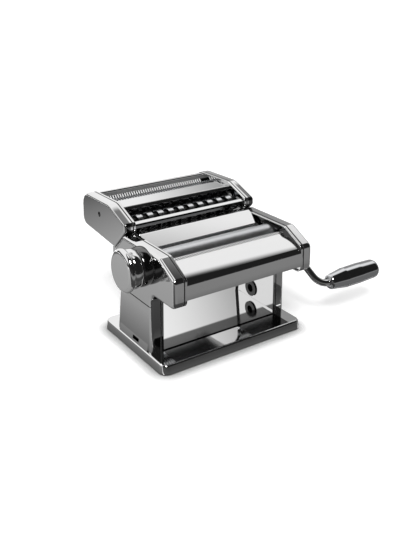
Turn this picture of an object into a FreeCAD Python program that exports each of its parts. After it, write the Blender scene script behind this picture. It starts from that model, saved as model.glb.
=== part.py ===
import FreeCAD, Part
import math
import os
import re
import Sketcher

# Hand-cranked pasta roller machine. Millimetres, +X to the crank side, -Y to the
# user, +Z up, origin on the table under the middle of the base tray.

doc = FreeCAD.newDocument("pasta_roller_machine")
sheet = doc.addObject("Spreadsheet::Sheet", "Sizes")

SIZES = {
    # Base tray and its feet
    "base_margin": 2.5,
    "base_depth": 132.0,
    "base_top": 11.0,
    "base_corner": 9.0,
    "base_edge": 2.5,
    "base_wall": 1.0,
    "base_flare": 9.0,
    "skirt_lift": 1.5,
    "foot_radius": 7.0,
    "foot_inset": 17.0,
    "foot_taper": 1.0,
    "floor_wall": 1.2,
    # Side outline of the legs and the head, as Y and Z places
    "leg_front": 37.0,
    "leg_back_low": 38.5,
    "leg_back_high": 31.0,
    "knee_height": 70.0,
    "head_back": 44.3,
    "head_back_low": 92.0,
    "head_top": 126.0,
    "brow_y": 53.0,
    "brow_drop": 15.5,
    "head_front": 83.0,
    "head_bottom": 79.0,
    "arch_corner": 8.0,
    "chin_corner": 8.0,
    "brow_corner": 6.0,
    "back_corner": 6.0,
    "knee_corner": 12.0,
    # Pressed side plates and deep-drawn side covers
    "roller_end_space": 4.3,
    "flange_depth": 3.5,
    "plate_wall": 1.0,
    "rim_round": 0.6,
    "seam_round": 0.4,
    "cover_depth": 12.5,
    "cover_wall": 1.0,
    "cover_edge": 4.0,
    "crease_height": 64.5,
    "crease_proud": 0.35,
    "crease_half": 0.7,
    "skirt_height": 8.5,
    "skirt_proud": 1.4,
    "skirt_end": 7.0,
    "slot_length": 13.0,
    "slot_height": 4.0,
    "slot_y": -4.5,
    "slot_sill": 1.6,
    "leg_hole": 8.5,
    "leg_hole_y": 8.0,
    "leg_hole_z": 26.5,
    "grommet_bore": 5.0,
    "grommet_lip": 1.5,
    # Sheet covers between the side plates
    "sheet_wall": 1.0,
    "bend_radius": 4.0,
    "front_bend": 12.0,
    "front_lip_roll": 3.5,
    "front_lip_y": 45.0,
    "front_lip_z": 119.4,
    "front_lip_drop": 5.0,
    "front_bend_z": 108.6,
    "front_hem_z": 87.2,
    "rear_hem_z": 94.0,
    "feed_low_y": 7.5,
    "feed_low_z": 117.7,
    "feed_high_y": 12.5,
    "feed_high_z": 127.6,
    "feed_back_y": 22.5,
    "feed_back_drop": 16.0,
    "feed_gap": 1.0,
    "feed_wall": 0.8,
    "rear_lip_gap": 2.1,
    "rod_radius": 3.0,
    "front_rod_inset": 16.8,
    "front_rod_rise": 19.0,
    "chin_rod_inset": 23.8,
    "chin_rod_rise": 9.0,
    "back_rod_inset": 12.0,
    "back_rod_rise": 4.0,
    "scraper_gap": 0.5,
    "scraper_reach": 11.0,
    "cheek_height": 2.0,
    "cheek_start": 2.0,
    "cheek_margin": 1.0,
    "cheek_gap": 0.5,
    "cheek_lift": 0.4,
    # Dough rollers
    "roller_radius": 13.6,
    "roller_half": 74.7,
    "roller_z": 107.2,
    "rear_roller_y": 4.8,
    "widest_gap": 4.8,
    "thinnest_gap": 0.6,
    "journal": 7.0,
    "bush_wall": 2.5,
    "bush_length": 3.3,
    "bush_proud": 0.8,
    "cover_bush_length": 2.4,
    "end_gap": 0.2,
    "running_gap": 0.05,
    "socket_flats": 8.0,
    "socket_depth": 25.0,
    "socket_gap": 0.1,
    # Roller gears, with long teeth that stay in mesh as the gap opens
    "gear_teeth": 12,
    "gear_tip": 16.6,
    "gear_root": 10.8,
    "tooth_tip_width": 0.9,
    "tooth_root_width": 3.0,
    "mesh_lead": 2.0,
    "tooth_sink": 0.4,
    "gear_offset": 1.0,
    "gear_width": 7.5,
    "press_gap": 0.02,
    # Eccentric thickness shaft with its bushes
    "knob_step": 15.0,
    "knob_positions": 10,
    "shaft_radius": 4.0,
    "cam_radius": 6.4,
    "sleeve_wall": 1.05,
    "sleeve_length": 13.0,
    "sleeve_inset": 1.0,
    "cam_inset": 0.7,
    "shaft_hole_gap": 2.0,
    "neck_radius": 9.0,
    "neck_clear": 0.5,
    # Thickness knob and its indexed collar
    "collar_radius": 20.0,
    "collar_length": 11.5,
    "dimple_circle": 14.0,
    "dimple_radius": 1.9,
    "dimple_depth": 1.5,
    "index_pin": 1.5,
    "index_gap": 0.3,
    "knob_gap": 0.6,
    "knob_grip_radius": 22.0,
    "knob_grip_length": 10.0,
    "knob_groove_radius": 20.4,
    "knob_groove_length": 1.4,
    "knob_rim_radius": 23.6,
    "knob_rim_length": 4.6,
    "knob_cap_radius": 20.4,
    "knob_cap_seat": 1.0,
    "knob_web": 2.0,
    "knob_cap_dome": 2.0,
    "knob_scallops": 12,
    "scallop_radius": 4.6,
    "scallop_depth": 1.2,
    # Crank and its turning handle
    "crank_turn_angle": 223.3,
    "crank_throw": 92.0,
    "crank_rod": 4.2,
    "crank_shoulder": 8.0,
    "crank_shoulder_length": 4.4,
    "crank_shoulder_gap": 0.4,
    "crank_bend_in": 8.0,
    "crank_bend_out": 17.0,
    "crank_straight": 11.4,
    "crank_lean": 22.0,
    "plug_end_gap": 1.0,
    "grip_offset": 14.0,
    "grip_length": 80.0,
    "grip_neck": 8.6,
    "grip_belly": 12.3,
    "grip_end": 11.3,
    "grip_round": 7.0,
    "grip_taper": 25.0,
    "grip_shoulder_round": 3.0,
    "grip_end_wall": 2.0,
    "grip_swell": 0.3,
    "grip_neck_round": 3.4,
    "ferrule_radius": 11.0,
    "ferrule_bore": 6.5,
    "ferrule_length": 1.7,
    # Lift-off cutter unit: its slanted front lies on the plane y + z = cut_plane
    "cut_plane": 150.0,
    "cut_seat_gap": 0.7,
    "cut_front": 20.2,
    "cut_front_top": 138.5,
    "cut_break_y": 57.0,
    "cut_roof": 12.3,
    "cut_back": 127.5,
    "cut_tail_roof": 10.8,
    "cut_back_low": 110.5,
    "cut_foot_y": 46.0,
    "cut_cover_depth": 11.0,
    "cut_edge": 3.5,
    "cut_nose_corner": 4.5,
    "cut_break_corner": 24.0,
    "cut_back_corner": 15.0,
    "cut_heel_corner": 12.0,
    "cut_axis_z": 129.5,
    "cut_centres": 19.4,
    "wide_front_y": 39.5,
    "fine_front_y": 82.6,
    "disc_radius": 10.7,
    "disc_core": 8.2,
    "wide_discs": 10,
    "wide_margin": 4.7,
    "wide_disc_gap": 0.3,
    "fine_discs": 38,
    "fine_margin": 4.4,
    "fine_disc_gap": 0.4,
    "cut_journal": 4.0,
    "cut_drive_journal": 6.2,
    "cut_bush_wall": 2.2,
    "cut_gear_tip": 11.1,
    "cut_gear_root": 7.9,
    "cut_tooth_tip_width": 1.0,
    "cut_tooth_root_width": 2.5,
    "cut_gear_width": 6.0,
    "cut_end_gap": 0.8,
    "drive_hole": 7.5,
    "mid_front_y": 49.8,
    "mid_back_y": 76.0,
    "mid_sink": 3.9,
    "mid_drop": 4.0,
    "lip_sink": 0.1,
    "lip_depth": 7.4,
    "lip_drop": 3.4,
    "lip_flare": 1.6,
    "lip_fall": 2.4,
    "lip_hem": 2.0,
    "tail_depth": 18.5,
    "tail_lean": 4.4,
    "tail_panel": 13.0,
    "comb_wall": 1.2,
    "comb_depth": 4.0,
    "comb_gap": 0.5,
    "comb_tooth_gap": 0.5,
    "comb_bar_gap": 1.0,
    "comb_root": 1.0,
    "cut_rod_drop": 10.0,
    "cut_rod_inset": 10.0,
    "cut_bush_proud": 0.6,
    "cut_shaft_proud": 0.4,
    "cut_stub": 1.2,
    "rivet_back": 0.6,
    "rivet_rise": 4.5,
    "rivet_radius": 3.0,
    "rivet_gap": 0.1,
    "rivet_sunk": 0.8,
    "rivet_flange": 1.0,
    # Hook sockets behind the head and the cutter tongues that drop into them
    "hook_inset": 2.0,
    "hook_width": 10.0,
    "hook_wall": 2.0,
    "hook_height": 11.0,
    "tongue_wall": 2.0,
    "tongue_offset": 5.0,
    "hook_gap": 0.3,
    "tongue_gap": 1.0,
}

# Places and sizes that follow from the driving ones
FORMULAS = {
    "seam_x": "roller_half + roller_end_space + plate_wall",
    "base_length": "2 * (cover_x + base_margin)",
    "flange_x": "seam_x - flange_depth",
    "web_x": "seam_x - plate_wall",
    "cover_x": "seam_x + cover_depth",
    "head_slope": "cut_plane - cut_seat_gap",
    "throw_tilt": "(180 - knob_step * (knob_positions - 1)) / 2",
    "throw": "(widest_gap - thinnest_gap) / 2 / cos(throw_tilt)",
    "front_roller_y": "rear_roller_y - 2 * roller_radius - widest_gap",
    "shaft_y": "front_roller_y + throw * cos(throw_tilt)",
    "shaft_z": "roller_z + throw * (1 + sin(throw_tilt)) / 2",
    "front_roller_z": "shaft_z - throw * sin(throw_tilt)",
    "gear_x": "seam_x + gear_offset",
    "gear_end_x": "gear_x + gear_width",
    "sleeve_radius": "cam_radius + running_gap + sleeve_wall",
    "roller_bore": "sleeve_radius + running_gap",
    "neck_hole": "neck_radius + throw * cos(throw_tilt) + throw + neck_clear",
    "cover_inside_x": "cover_x - cover_wall",
    "collar_x": "cover_x + collar_length",
    "knob_x": "collar_x + knob_gap",
    "knob_groove_x": "knob_x + knob_grip_length",
    "knob_rim_x": "knob_groove_x + knob_groove_length",
    "knob_face_x": "knob_rim_x + knob_rim_length",
    "knob_bore_end": "knob_face_x - knob_cap_seat - knob_web",
    "grip_y": "rear_roller_y + crank_throw * cos(crank_turn_angle)",
    "grip_z": "roller_z + crank_throw * sin(crank_turn_angle)",
    "grip_end_x": "grip_start_x + grip_length",
    "crank_start_x": "shoulder_x + crank_straight",
    "crank_knee_x": "crank_start_x + crank_lean",
    "grip_start_x": "crank_knee_x + grip_offset",
    "crank_tip_x": "grip_end_x - grip_round - grip_end_wall",
    "ferrule_x": "cover_x + ferrule_length",
    "shoulder_x": "ferrule_x + crank_shoulder_gap",
    "plug_tip_x": "cover_inside_x - socket_gap * 3 - socket_depth + plug_end_gap",
    "wide_rear_y": "wide_front_y + cut_centres",
    "fine_rear_y": "fine_front_y + cut_centres",
    "cut_cover_x": "seam_x + cut_cover_depth",
    "cut_inside_x": "cut_cover_x - cover_wall",
    "cut_foot_z": "cut_plane - cut_foot_y",
    "cut_break_z": "cut_axis_z + disc_radius + cut_roof",
    "cut_back_top": "cut_axis_z + disc_radius + cut_tail_roof",
    "wide_pitch": "2 * (roller_half - wide_margin) / wide_discs",
    "fine_pitch": "2 * (roller_half - fine_margin) / fine_discs",
    "mid_top_z": "cut_break_z - mid_sink",
    "lip_top_z": "cut_front_top - lip_sink",
    "lip_back_y": "cut_front + lip_depth",
    "tail_y": "cut_back - tail_depth",
    "cut_rod_z": "cut_axis_z - cut_rod_drop",
    "rivet_y": "fine_front_y - rivet_back",
    "rivet_z": "cut_axis_z + rivet_rise",
    "cut_sole_rise": "(cut_back_low - cut_foot_z) / (cut_back - cut_foot_y)",
    "tongue_y": "head_back + tongue_offset",
    "hook_top": "cut_foot_z - hook_gap",
}

PLANES = {"XY": "XY_Plane", "XZ": "XZ_Plane", "YZ": "YZ_Plane"}
WORD = re.compile(r"[A-Za-z_][A-Za-z_0-9]*")
nodes = {}


def fill_sheet():
    """Write every driving size into its own cell, with its name as the alias."""
    for row, (name, number) in enumerate(SIZES.items(), start=1):
        cell = "A%d" % row
        sheet.set(cell, repr(number))
        sheet.setAlias(cell, name)
    doc.recompute()


def formula(text):
    """Turn a formula in size names into one that reads the sheet's cells."""
    def cell(match):
        word = match.group(0)
        if word in FORMULAS:
            return "(" + formula(FORMULAS[word]) + ")"
        if word in SIZES:
            return "Sizes." + word
        return word
    return WORD.sub(cell, str(text))


def value(text):
    """Work a formula out as a number."""
    return float(sheet.evalExpression(formula(text)))


def bind(thing, prop, text):
    """Tie one property of a document object to a formula."""
    thing.setExpression(prop, formula(text))


def place(thing, x="0", y="0", z="0", turn=None):
    """Place an object by formulas, turned about an axis along X where asked."""
    angle = value(turn) if turn else 0
    spot = FreeCAD.Vector(value(x), value(y), value(z))
    thing.Placement = FreeCAD.Placement(spot, FreeCAD.Rotation(FreeCAD.Vector(1, 0, 0), angle))
    for prop, text in (("x", x), ("y", y), ("z", z)):
        bind(thing, "Placement.Base." + prop, text)
    if turn:
        bind(thing, "Placement.Rotation.Angle", turn)


def new_body(label):
    """Start a sub-part that is built from sketches."""
    body = doc.addObject("PartDesign::Body", label)
    body.Label = label
    nodes[label] = body
    return body


def new_sketch(body, plane, lift="0"):
    """Lay an empty sketch on one of the body's origin planes, lifted along its normal."""
    sketch = body.newObject("Sketcher::SketchObject", body.Label + "_sketch")
    for feature in body.Origin.OriginFeatures:
        if feature.Role == PLANES[plane]:
            sketch.AttachmentSupport = [(feature, "")]
    sketch.MapMode = "FlatFace"
    bind(sketch, "AttachmentOffset.Base.z", lift)
    return sketch


def rounded_ends(corners, closed):
    """Work out where each corner's rounding begins and ends.

    Each entry is (corner, start, finish, centre, radius, left turn).
    """
    spots = [FreeCAD.Vector(value(u), value(v), 0) for u, v, r in corners]
    count = len(corners)
    ends = []
    for index, (u, v, r) in enumerate(corners):
        spot = spots[index]
        inner = closed or 0 < index < count - 1
        if not r or not inner:
            ends.append((spot, spot, spot, None, 0, True))
            continue
        radius = value(r)
        back = (spots[index - 1] - spot).normalize()
        ahead = (spots[(index + 1) % count] - spot).normalize()
        half = back.getAngle(ahead) / 2
        reach = radius / math.tan(half)
        middle = (back + ahead).normalize()
        centre = spot + middle * (radius / math.sin(half))
        left = back.cross(ahead).z < 0
        ends.append((spot, spot + back * reach, spot + ahead * reach, centre, radius, left))
    return ends


def draw(sketch, corners, closed=True):
    """Draw straight runs with tangent roundings, each corner held by its two places."""
    ends = rounded_ends(corners, closed)
    count = len(corners)
    runs = count if closed else count - 1
    lines = []
    for index in range(runs):
        after = ends[(index + 1) % count]
        lines.append(sketch.addGeometry(Part.LineSegment(ends[index][2], after[1])))
    rules = []
    ties = []

    def dimension(kind, geo, pos, text):
        ties.append((len(rules), text))
        rules.append(Sketcher.Constraint(kind, -1, 1, geo, pos, value(text)))

    for index, (u, v, r) in enumerate(corners):
        spot, start, finish, centre, radius, left = ends[index]
        before = lines[index - 1] if closed or index > 0 else None
        ahead = lines[index] if index < runs else None
        if centre is None:
            if before is not None and ahead is not None:
                rules.append(Sketcher.Constraint("Coincident", before, 2, ahead, 1))
            geo, pos = (ahead, 1) if ahead is not None else (before, 2)
            dimension("DistanceX", geo, pos, u)
            dimension("DistanceY", geo, pos, v)
            continue
        first, last = (start, finish) if left else (finish, start)
        angles = [math.atan2(p.y - centre.y, p.x - centre.x) for p in (first, last)]
        circle = Part.Circle(centre, FreeCAD.Vector(0, 0, 1), radius)
        arc = sketch.addGeometry(Part.ArcOfCircle(circle, angles[0], angles[1]))
        point = sketch.addGeometry(Part.Point(spot), True)
        arrive, leave = (1, 2) if left else (2, 1)
        rules.append(Sketcher.Constraint("Tangent", before, 2, arc, arrive))
        rules.append(Sketcher.Constraint("Tangent", ahead, 1, arc, leave))
        rules.append(Sketcher.Constraint("PointOnObject", point, 1, before))
        rules.append(Sketcher.Constraint("PointOnObject", point, 1, ahead))
        ties.append((len(rules), r))
        rules.append(Sketcher.Constraint("Radius", arc, radius))
        dimension("DistanceX", point, 1, u)
        dimension("DistanceY", point, 1, v)
    sketch.addConstraint(rules)
    for index, text in ties:
        bind(sketch, "Constraints[%d]" % index, text)
    return sketch


def draw_circle(sketch, u, v, radius):
    """Draw a circle held by its centre and radius."""
    centre = FreeCAD.Vector(value(u), value(v), 0)
    circle = Part.Circle(centre, FreeCAD.Vector(0, 0, 1), value(radius))
    geo = sketch.addGeometry(circle)
    rules = [
        Sketcher.Constraint("DistanceX", -1, 1, geo, 3, centre.x),
        Sketcher.Constraint("DistanceY", -1, 1, geo, 3, centre.y),
        Sketcher.Constraint("Radius", geo, value(radius)),
    ]
    first = sketch.addConstraint(rules)[0]
    for step, text in enumerate((u, v, radius)):
        bind(sketch, "Constraints[%d]" % (first + step), text)
    return sketch


def extrude(body, kind, sketch, length, backwards=False):
    """Pad or pocket a sketch; a pocket that removes nothing is an error."""
    before = body.Shape.Volume if body.Tip else 0
    feature = body.newObject("PartDesign::" + kind, body.Label + "_" + kind)
    feature.Profile = sketch
    bind(feature, "Length", length)
    feature.Reversed = backwards
    doc.recompute()
    if kind == "Pocket" and body.Shape.Volume > before - 1e-6:
        raise ValueError("nothing was cut from " + body.Label)
    return feature


def pad(body, sketch, length, backwards=False):
    """Add material along the sketch's normal, or against it."""
    return extrude(body, "Pad", sketch, length, backwards)


def pocket(body, sketch, length, backwards=False):
    """Remove material against the sketch's normal, or along it."""
    return extrude(body, "Pocket", sketch, length, backwards)


def revolve(body, sketch):
    """Turn a profile drawn in X and radius about the body's X axis."""
    feature = body.newObject("PartDesign::Revolution", body.Label + "_turned")
    feature.Profile = sketch
    feature.ReferenceAxis = (sketch, ["H_Axis"])
    feature.Angle = 360
    doc.recompute()
    return feature


def repeat(body, feature, kind, axis, span, count):
    """Repeat a feature along or around one of the body's origin axes."""
    pattern = body.newObject("PartDesign::" + kind, body.Label + "_pattern")
    pattern.Originals = [feature]
    for origin in body.Origin.OriginFeatures:
        if origin.Role == axis:
            if kind == "LinearPattern":
                pattern.Direction = (origin, [""])
            else:
                pattern.Axis = (origin, [""])
    bind(pattern, "Length" if kind == "LinearPattern" else "Angle", span)
    bind(pattern, "Occurrences", count)
    body.Tip = pattern
    doc.recompute()
    return pattern


def round_edges(body, radius, chosen):
    """Round the edges of the body that the test picks by their two ends."""
    base = body.Tip
    names = []
    for index, edge in enumerate(base.Shape.Edges, start=1):
        if len(edge.Vertexes) > 1 and chosen(edge.Vertexes[0].Point, edge.Vertexes[-1].Point):
            names.append("Edge%d" % index)
    feature = body.newObject("PartDesign::Fillet", body.Label + "_rounding")
    feature.Base = (base, names)
    bind(feature, "Radius", radius)
    doc.recompute()
    return feature


def offset_corner(corners, index, wall, closed):
    """Move one corner of an outline to its left by a wall's thickness."""
    count = len(corners)
    u, v, r = corners[index]
    runs = []
    if closed or index > 0:
        runs.append((corners[index - 1], corners[index]))
    if closed or index < count - 1:
        runs.append((corners[index], corners[(index + 1) % count]))
    ways = []
    for (u0, v0, r0), (u1, v1, r1) in runs:
        du = "((%s)-(%s))" % (u1, u0)
        dv = "((%s)-(%s))" % (v1, v0)
        size = "sqrt(%s^2+%s^2)" % (du, dv)
        ways.append((du + "/" + size, dv + "/" + size))
    if len(ways) == 1:
        eu, ev = ways[0]
        return ("(%s)-(%s)*%s" % (u, wall, ev), "(%s)+(%s)*%s" % (v, wall, eu), "")
    (au, av), (bu, bv) = ways
    turn = "(%s*%s-%s*%s)" % (au, bv, av, bu)
    moved_u = "(%s)+(%s)*(%s-%s)/%s" % (u, wall, bu, au, turn)
    moved_v = "(%s)+(%s)*(%s-%s)/%s" % (v, wall, bv, av, turn)
    rounding = ""
    if r:
        rounding = "(%s)-(%s)" % (r, wall) if value(turn) > 0 else "(%s)+(%s)" % (r, wall)
    return (moved_u, moved_v, rounding)


def inset(corners, wall):
    """Draw a closed outline in by a wall's thickness."""
    return [offset_corner(corners, index, wall, True) for index in range(len(corners))]


def strip(corners, wall):
    """Thicken an open run of sheet metal to its left into a closed outline."""
    inner = [offset_corner(corners, index, wall, False) for index in range(len(corners))]
    return corners + inner[::-1]


def turned(label, profile, y, z, turn=None):
    """Make a turned piece on an axis along X from a profile in X and radius."""
    body = new_body(label)
    revolve(body, draw(new_sketch(body, "XY"), profile))
    place(body, "0", y, z, turn)
    return body


def ring_profile(x_start, x_end, bore, radius):
    """Give the cross-section of a plain ring."""
    return [(x_start, bore, ""), (x_end, bore, ""), (x_end, radius, ""), (x_start, radius, "")]


def group(label, pieces):
    """Gather separate like pieces into one node."""
    compound = doc.addObject("Part::Compound", label)
    compound.Label = label
    compound.Links = pieces
    nodes[label] = compound
    return compound


def ring(name, x_start, x_end, bore, radius, y, z):
    """Make a loose ring for a group."""
    cylinders = []
    for suffix, size in (("outer", radius), ("bore", bore)):
        cylinder = doc.addObject("Part::Cylinder", name + "_" + suffix)
        bind(cylinder, "Radius", size)
        bind(cylinder, "Height", "(%s)-(%s)" % (x_end, x_start))
        along_x(cylinder, x_start, y, z)
        cylinders.append(cylinder)
    cut = doc.addObject("Part::Cut", name)
    cut.Base, cut.Tool = cylinders
    return cut


def rod(name, x_start, x_end, radius, y, z):
    """Make a loose round rod along X for a group."""
    cylinder = doc.addObject("Part::Cylinder", name)
    bind(cylinder, "Radius", radius)
    bind(cylinder, "Height", "(%s)-(%s)" % (x_end, x_start))
    along_x(cylinder, x_start, y, z)
    return cylinder


def along_x(cylinder, x, y, z):
    """Lay a cylinder along +X from a point."""
    spot = FreeCAD.Vector(value(x), value(y), value(z))
    turn = FreeCAD.Rotation(FreeCAD.Vector(0, 1, 0), 90)
    cylinder.Placement = FreeCAD.Placement(spot, turn)
    for prop, text in (("x", x), ("y", y), ("z", z)):
        bind(cylinder, "Placement.Base." + prop, text)


def drill(body, radius, u, v, lift, length, backwards=False):
    """Cut a round hole along X through a body, from the plane at lift."""
    hole = draw_circle(new_sketch(body, "YZ", lift), u, v, radius)
    return pocket(body, hole, length, backwards)


def hexagon(flats):
    """Give the corners of a hexagon about the origin."""
    corners = []
    for step in range(6):
        reach = "(%s)/sqrt(3)" % flats
        angle = 60 * step
        corners.append(("%s*cos(%d)" % (reach, angle), "%s*sin(%d)" % (reach, angle), ""))
    return corners


def signed(side, text):
    """Mirror an X place to the left for side -1."""
    return text if side > 0 else "-(%s)" % text


def head_outline():
    """Side outline shared by the legs' plates and covers, as Y and Z."""
    return [
        ("-leg_front", "base_top", ""),
        ("leg_back_low", "base_top", ""),
        ("leg_back_high", "knee_height", "knee_corner"),
        ("head_back", "head_back_low", "back_corner"),
        ("head_back", "head_slope - head_back", "back_corner"),
        ("head_slope - head_top", "head_top", "back_corner"),
        ("-brow_y", "head_top", "brow_corner"),
        ("-head_front", "head_top - brow_drop", "brow_corner"),
        ("-head_front", "head_bottom", "chin_corner"),
        ("-leg_front", "head_bottom", "arch_corner"),
    ]


def cutter_outline():
    """Side outline of the cutter unit, as Y and Z."""
    return [
        ("cut_foot_y", "cut_foot_z", "cut_nose_corner"),
        ("cut_back", "cut_back_low", "cut_heel_corner"),
        ("cut_back", "cut_back_top", "cut_back_corner"),
        ("cut_break_y", "cut_break_z", "cut_break_corner"),
        ("cut_front", "cut_front_top", "cut_nose_corner"),
        ("cut_front", "cut_plane - cut_front", "cut_nose_corner"),
    ]


def edges_at(level, foot=None):
    """Pick the edges that lie in one plane across X, but none on the foot's own height."""
    x = value(level)

    def chosen(a, b):
        standing = foot and max(a.z, b.z) < value(foot) + 1e-4
        return abs(a.x - x) < 1e-4 and abs(b.x - x) < 1e-4 and not standing
    return chosen


def pressed_plate(label, corners, side, floor=None):
    """Press a side plate: a flat web with its rolled rim flanged towards the middle."""
    body = new_body(label)
    edge = signed(side, "flange_x")
    pad(body, draw(new_sketch(body, "YZ", edge), corners), "flange_depth", side < 0)
    round_edges(body, "rim_round", edges_at(edge, floor))
    round_edges(body, "rim_round", edges_at(signed(side, "seam_x"), floor))
    hollow = draw(new_sketch(body, "YZ", edge), inset(corners, "plate_wall"))
    pocket(body, hollow, "flange_depth - plate_wall", side > 0)
    return body


def drawn_cover(label, corners, side, depth, edge_radius, floor=None):
    """Draw a deep cover: rounded outer rim, even wall, open towards the plate."""
    body = new_body(label)
    rim = signed(side, "seam_x")
    pad(body, draw(new_sketch(body, "YZ", rim), corners), depth, side < 0)
    round_edges(body, "seam_round", edges_at(rim, floor))
    hollow = draw(new_sketch(body, "YZ", rim), inset(corners, "cover_wall"))
    pocket(body, hollow, depth + " - cover_wall", side > 0)
    sole = floor + " + cover_wall" if floor else None
    inside = signed(side, "(seam_x + %s - cover_wall)" % depth)
    outside = signed(side, "(seam_x + %s)" % depth)
    round_edges(body, edge_radius + " - cover_wall", edges_at(inside, sole))
    round_edges(body, edge_radius, edges_at(outside, floor))
    return body


def bent_sheet(label, corners, half="web_x", wall="sheet_wall"):
    """Bend a sheet along its profile and run it from one side plate to the other."""
    body = new_body(label)
    profile = draw(new_sketch(body, "YZ", "-(%s)" % half), strip(corners, wall))
    pad(body, profile, "2*(%s)" % half)
    return body


def base():
    """Base tray, its feet and the floor strip between the legs."""
    tray = new_body("base_plate")
    half_x = "base_length/2"
    half_y = "base_depth/2"
    outline = [
        ("-" + half_x, "-" + half_y, "base_corner"),
        (half_x, "-" + half_y, "base_corner"),
        (half_x, half_y, "base_corner"),
        ("-" + half_x, half_y, "base_corner"),
    ]
    body = pad(tray, draw(new_sketch(tray, "XY", "base_top"), outline), "base_top - skirt_lift", True)
    bind(body, "TaperAngle", "base_flare")
    doc.recompute()
    top = value("base_top")
    round_edges(tray, "base_edge", lambda a, b: abs(a.z - top) < 1e-4 and abs(b.z - top) < 1e-4)
    hollow = draw(new_sketch(tray, "XY", "base_top - base_wall"), inset(outline, "base_wall"))
    inside = pocket(tray, hollow, "base_top - base_wall - skirt_lift")
    bind(inside, "TaperAngle", "base_flare")
    doc.recompute()

    x_in = "(base_length/2 - foot_inset)"
    y_in = "(base_depth/2 - foot_inset)"
    spots = [(x_side + x_in, y_side + y_in) for x_side in ("-", "") for y_side in ("-", "")]
    feet = []
    for x, y in spots + [("0", "0")]:
        foot = doc.addObject("Part::Cone", "foot")
        bind(foot, "Radius1", "foot_radius")
        bind(foot, "Radius2", "foot_radius - foot_taper")
        bind(foot, "Height", "base_top - base_wall")
        place(foot, x, y)
        feet.append(foot)
    group("rubber_feet", feet)

    floor = doc.addObject("Part::Box", "floor_plate")
    floor.Label = "floor_plate"
    bind(floor, "Length", "2*flange_x")
    bind(floor, "Width", "leg_front + leg_back_low")
    bind(floor, "Height", "floor_wall")
    place(floor, "-flange_x", "-leg_front", "base_top")
    nodes["floor_plate"] = floor


def cover_details(body, side):
    """Press the crease, the flared foot skirt and the clamp slot into a side cover."""
    face = signed(side, "cover_x")
    proud = signed(side, "(cover_x + skirt_proud)")
    ridge = signed(side, "(cover_x + crease_proud)")
    foot = [
        (face, "base_top", ""),
        (proud, "base_top", ""),
        (face, "base_top + skirt_height", ""),
    ]
    skirt = draw(new_sketch(body, "XZ", "leg_front - skirt_end"), foot)
    pad(body, skirt, "leg_front + leg_back_low - 2*skirt_end", True)
    crease = [
        (face, "crease_height - crease_half", ""),
        (ridge, "crease_height", ""),
        (face, "crease_height + crease_half", ""),
    ]
    line = draw(new_sketch(body, "XZ", "leg_front - cover_edge"), crease)
    pad(body, line, "leg_front - cover_edge + leg_back_high - 2*cover_edge", True)
    sill = "base_top + cover_wall + slot_sill"
    slot = [
        ("slot_y - slot_length/2", sill, ""),
        ("slot_y + slot_length/2", sill, ""),
        ("slot_y + slot_length/2", sill + " + slot_height", ""),
        ("slot_y - slot_length/2", sill + " + slot_height", ""),
    ]
    mouth = draw(new_sketch(body, "YZ", signed(side, "(cover_x - cover_edge)")), slot)
    pocket(body, mouth, "cover_edge + skirt_proud", side > 0)


def sides():
    """Side plates and side covers of the stand, with every hole that a shaft needs."""
    outline = head_outline()
    for side, name in ((-1, "left"), (1, "right")):
        plate = pressed_plate(name + "_side_plate", outline, side, "base_top")
        edge = signed(side, "web_x")
        through = side > 0
        drill(plate, "journal + running_gap + bush_wall", "rear_roller_y", "roller_z",
              edge, "plate_wall", through)
        if side > 0:
            drill(plate, "neck_hole", "shaft_y", "roller_z", edge, "plate_wall", through)
            drill(plate, "leg_hole", "leg_hole_y", "leg_hole_z", edge, "plate_wall", through)
        else:
            drill(plate, "shaft_radius + running_gap + bush_wall", "shaft_y", "shaft_z",
                  edge, "plate_wall", through)
        cover = drawn_cover(name + "_side_cover", outline, side, "cover_depth", "cover_edge", "base_top")
        cover_details(cover, side)
        wall = signed(side, "cover_inside_x")
        if side > 0:
            drill(cover, "ferrule_bore", "rear_roller_y", "roller_z", wall, "cover_wall", through)
        else:
            drill(cover, "shaft_radius + shaft_hole_gap", "shaft_y", "shaft_z", wall, "cover_wall", through)
    lip = [
        ("web_x - grommet_lip", "grommet_bore", ""),
        ("seam_x + grommet_lip", "grommet_bore", ""),
        ("seam_x + grommet_lip", "leg_hole", ""),
        ("web_x", "leg_hole", ""),
        ("web_x", "leg_hole + grommet_lip", ""),
        ("web_x - grommet_lip", "leg_hole + grommet_lip", ""),
    ]
    turned("clamp_grommet", lip, "leg_hole_y", "leg_hole_z")


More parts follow.
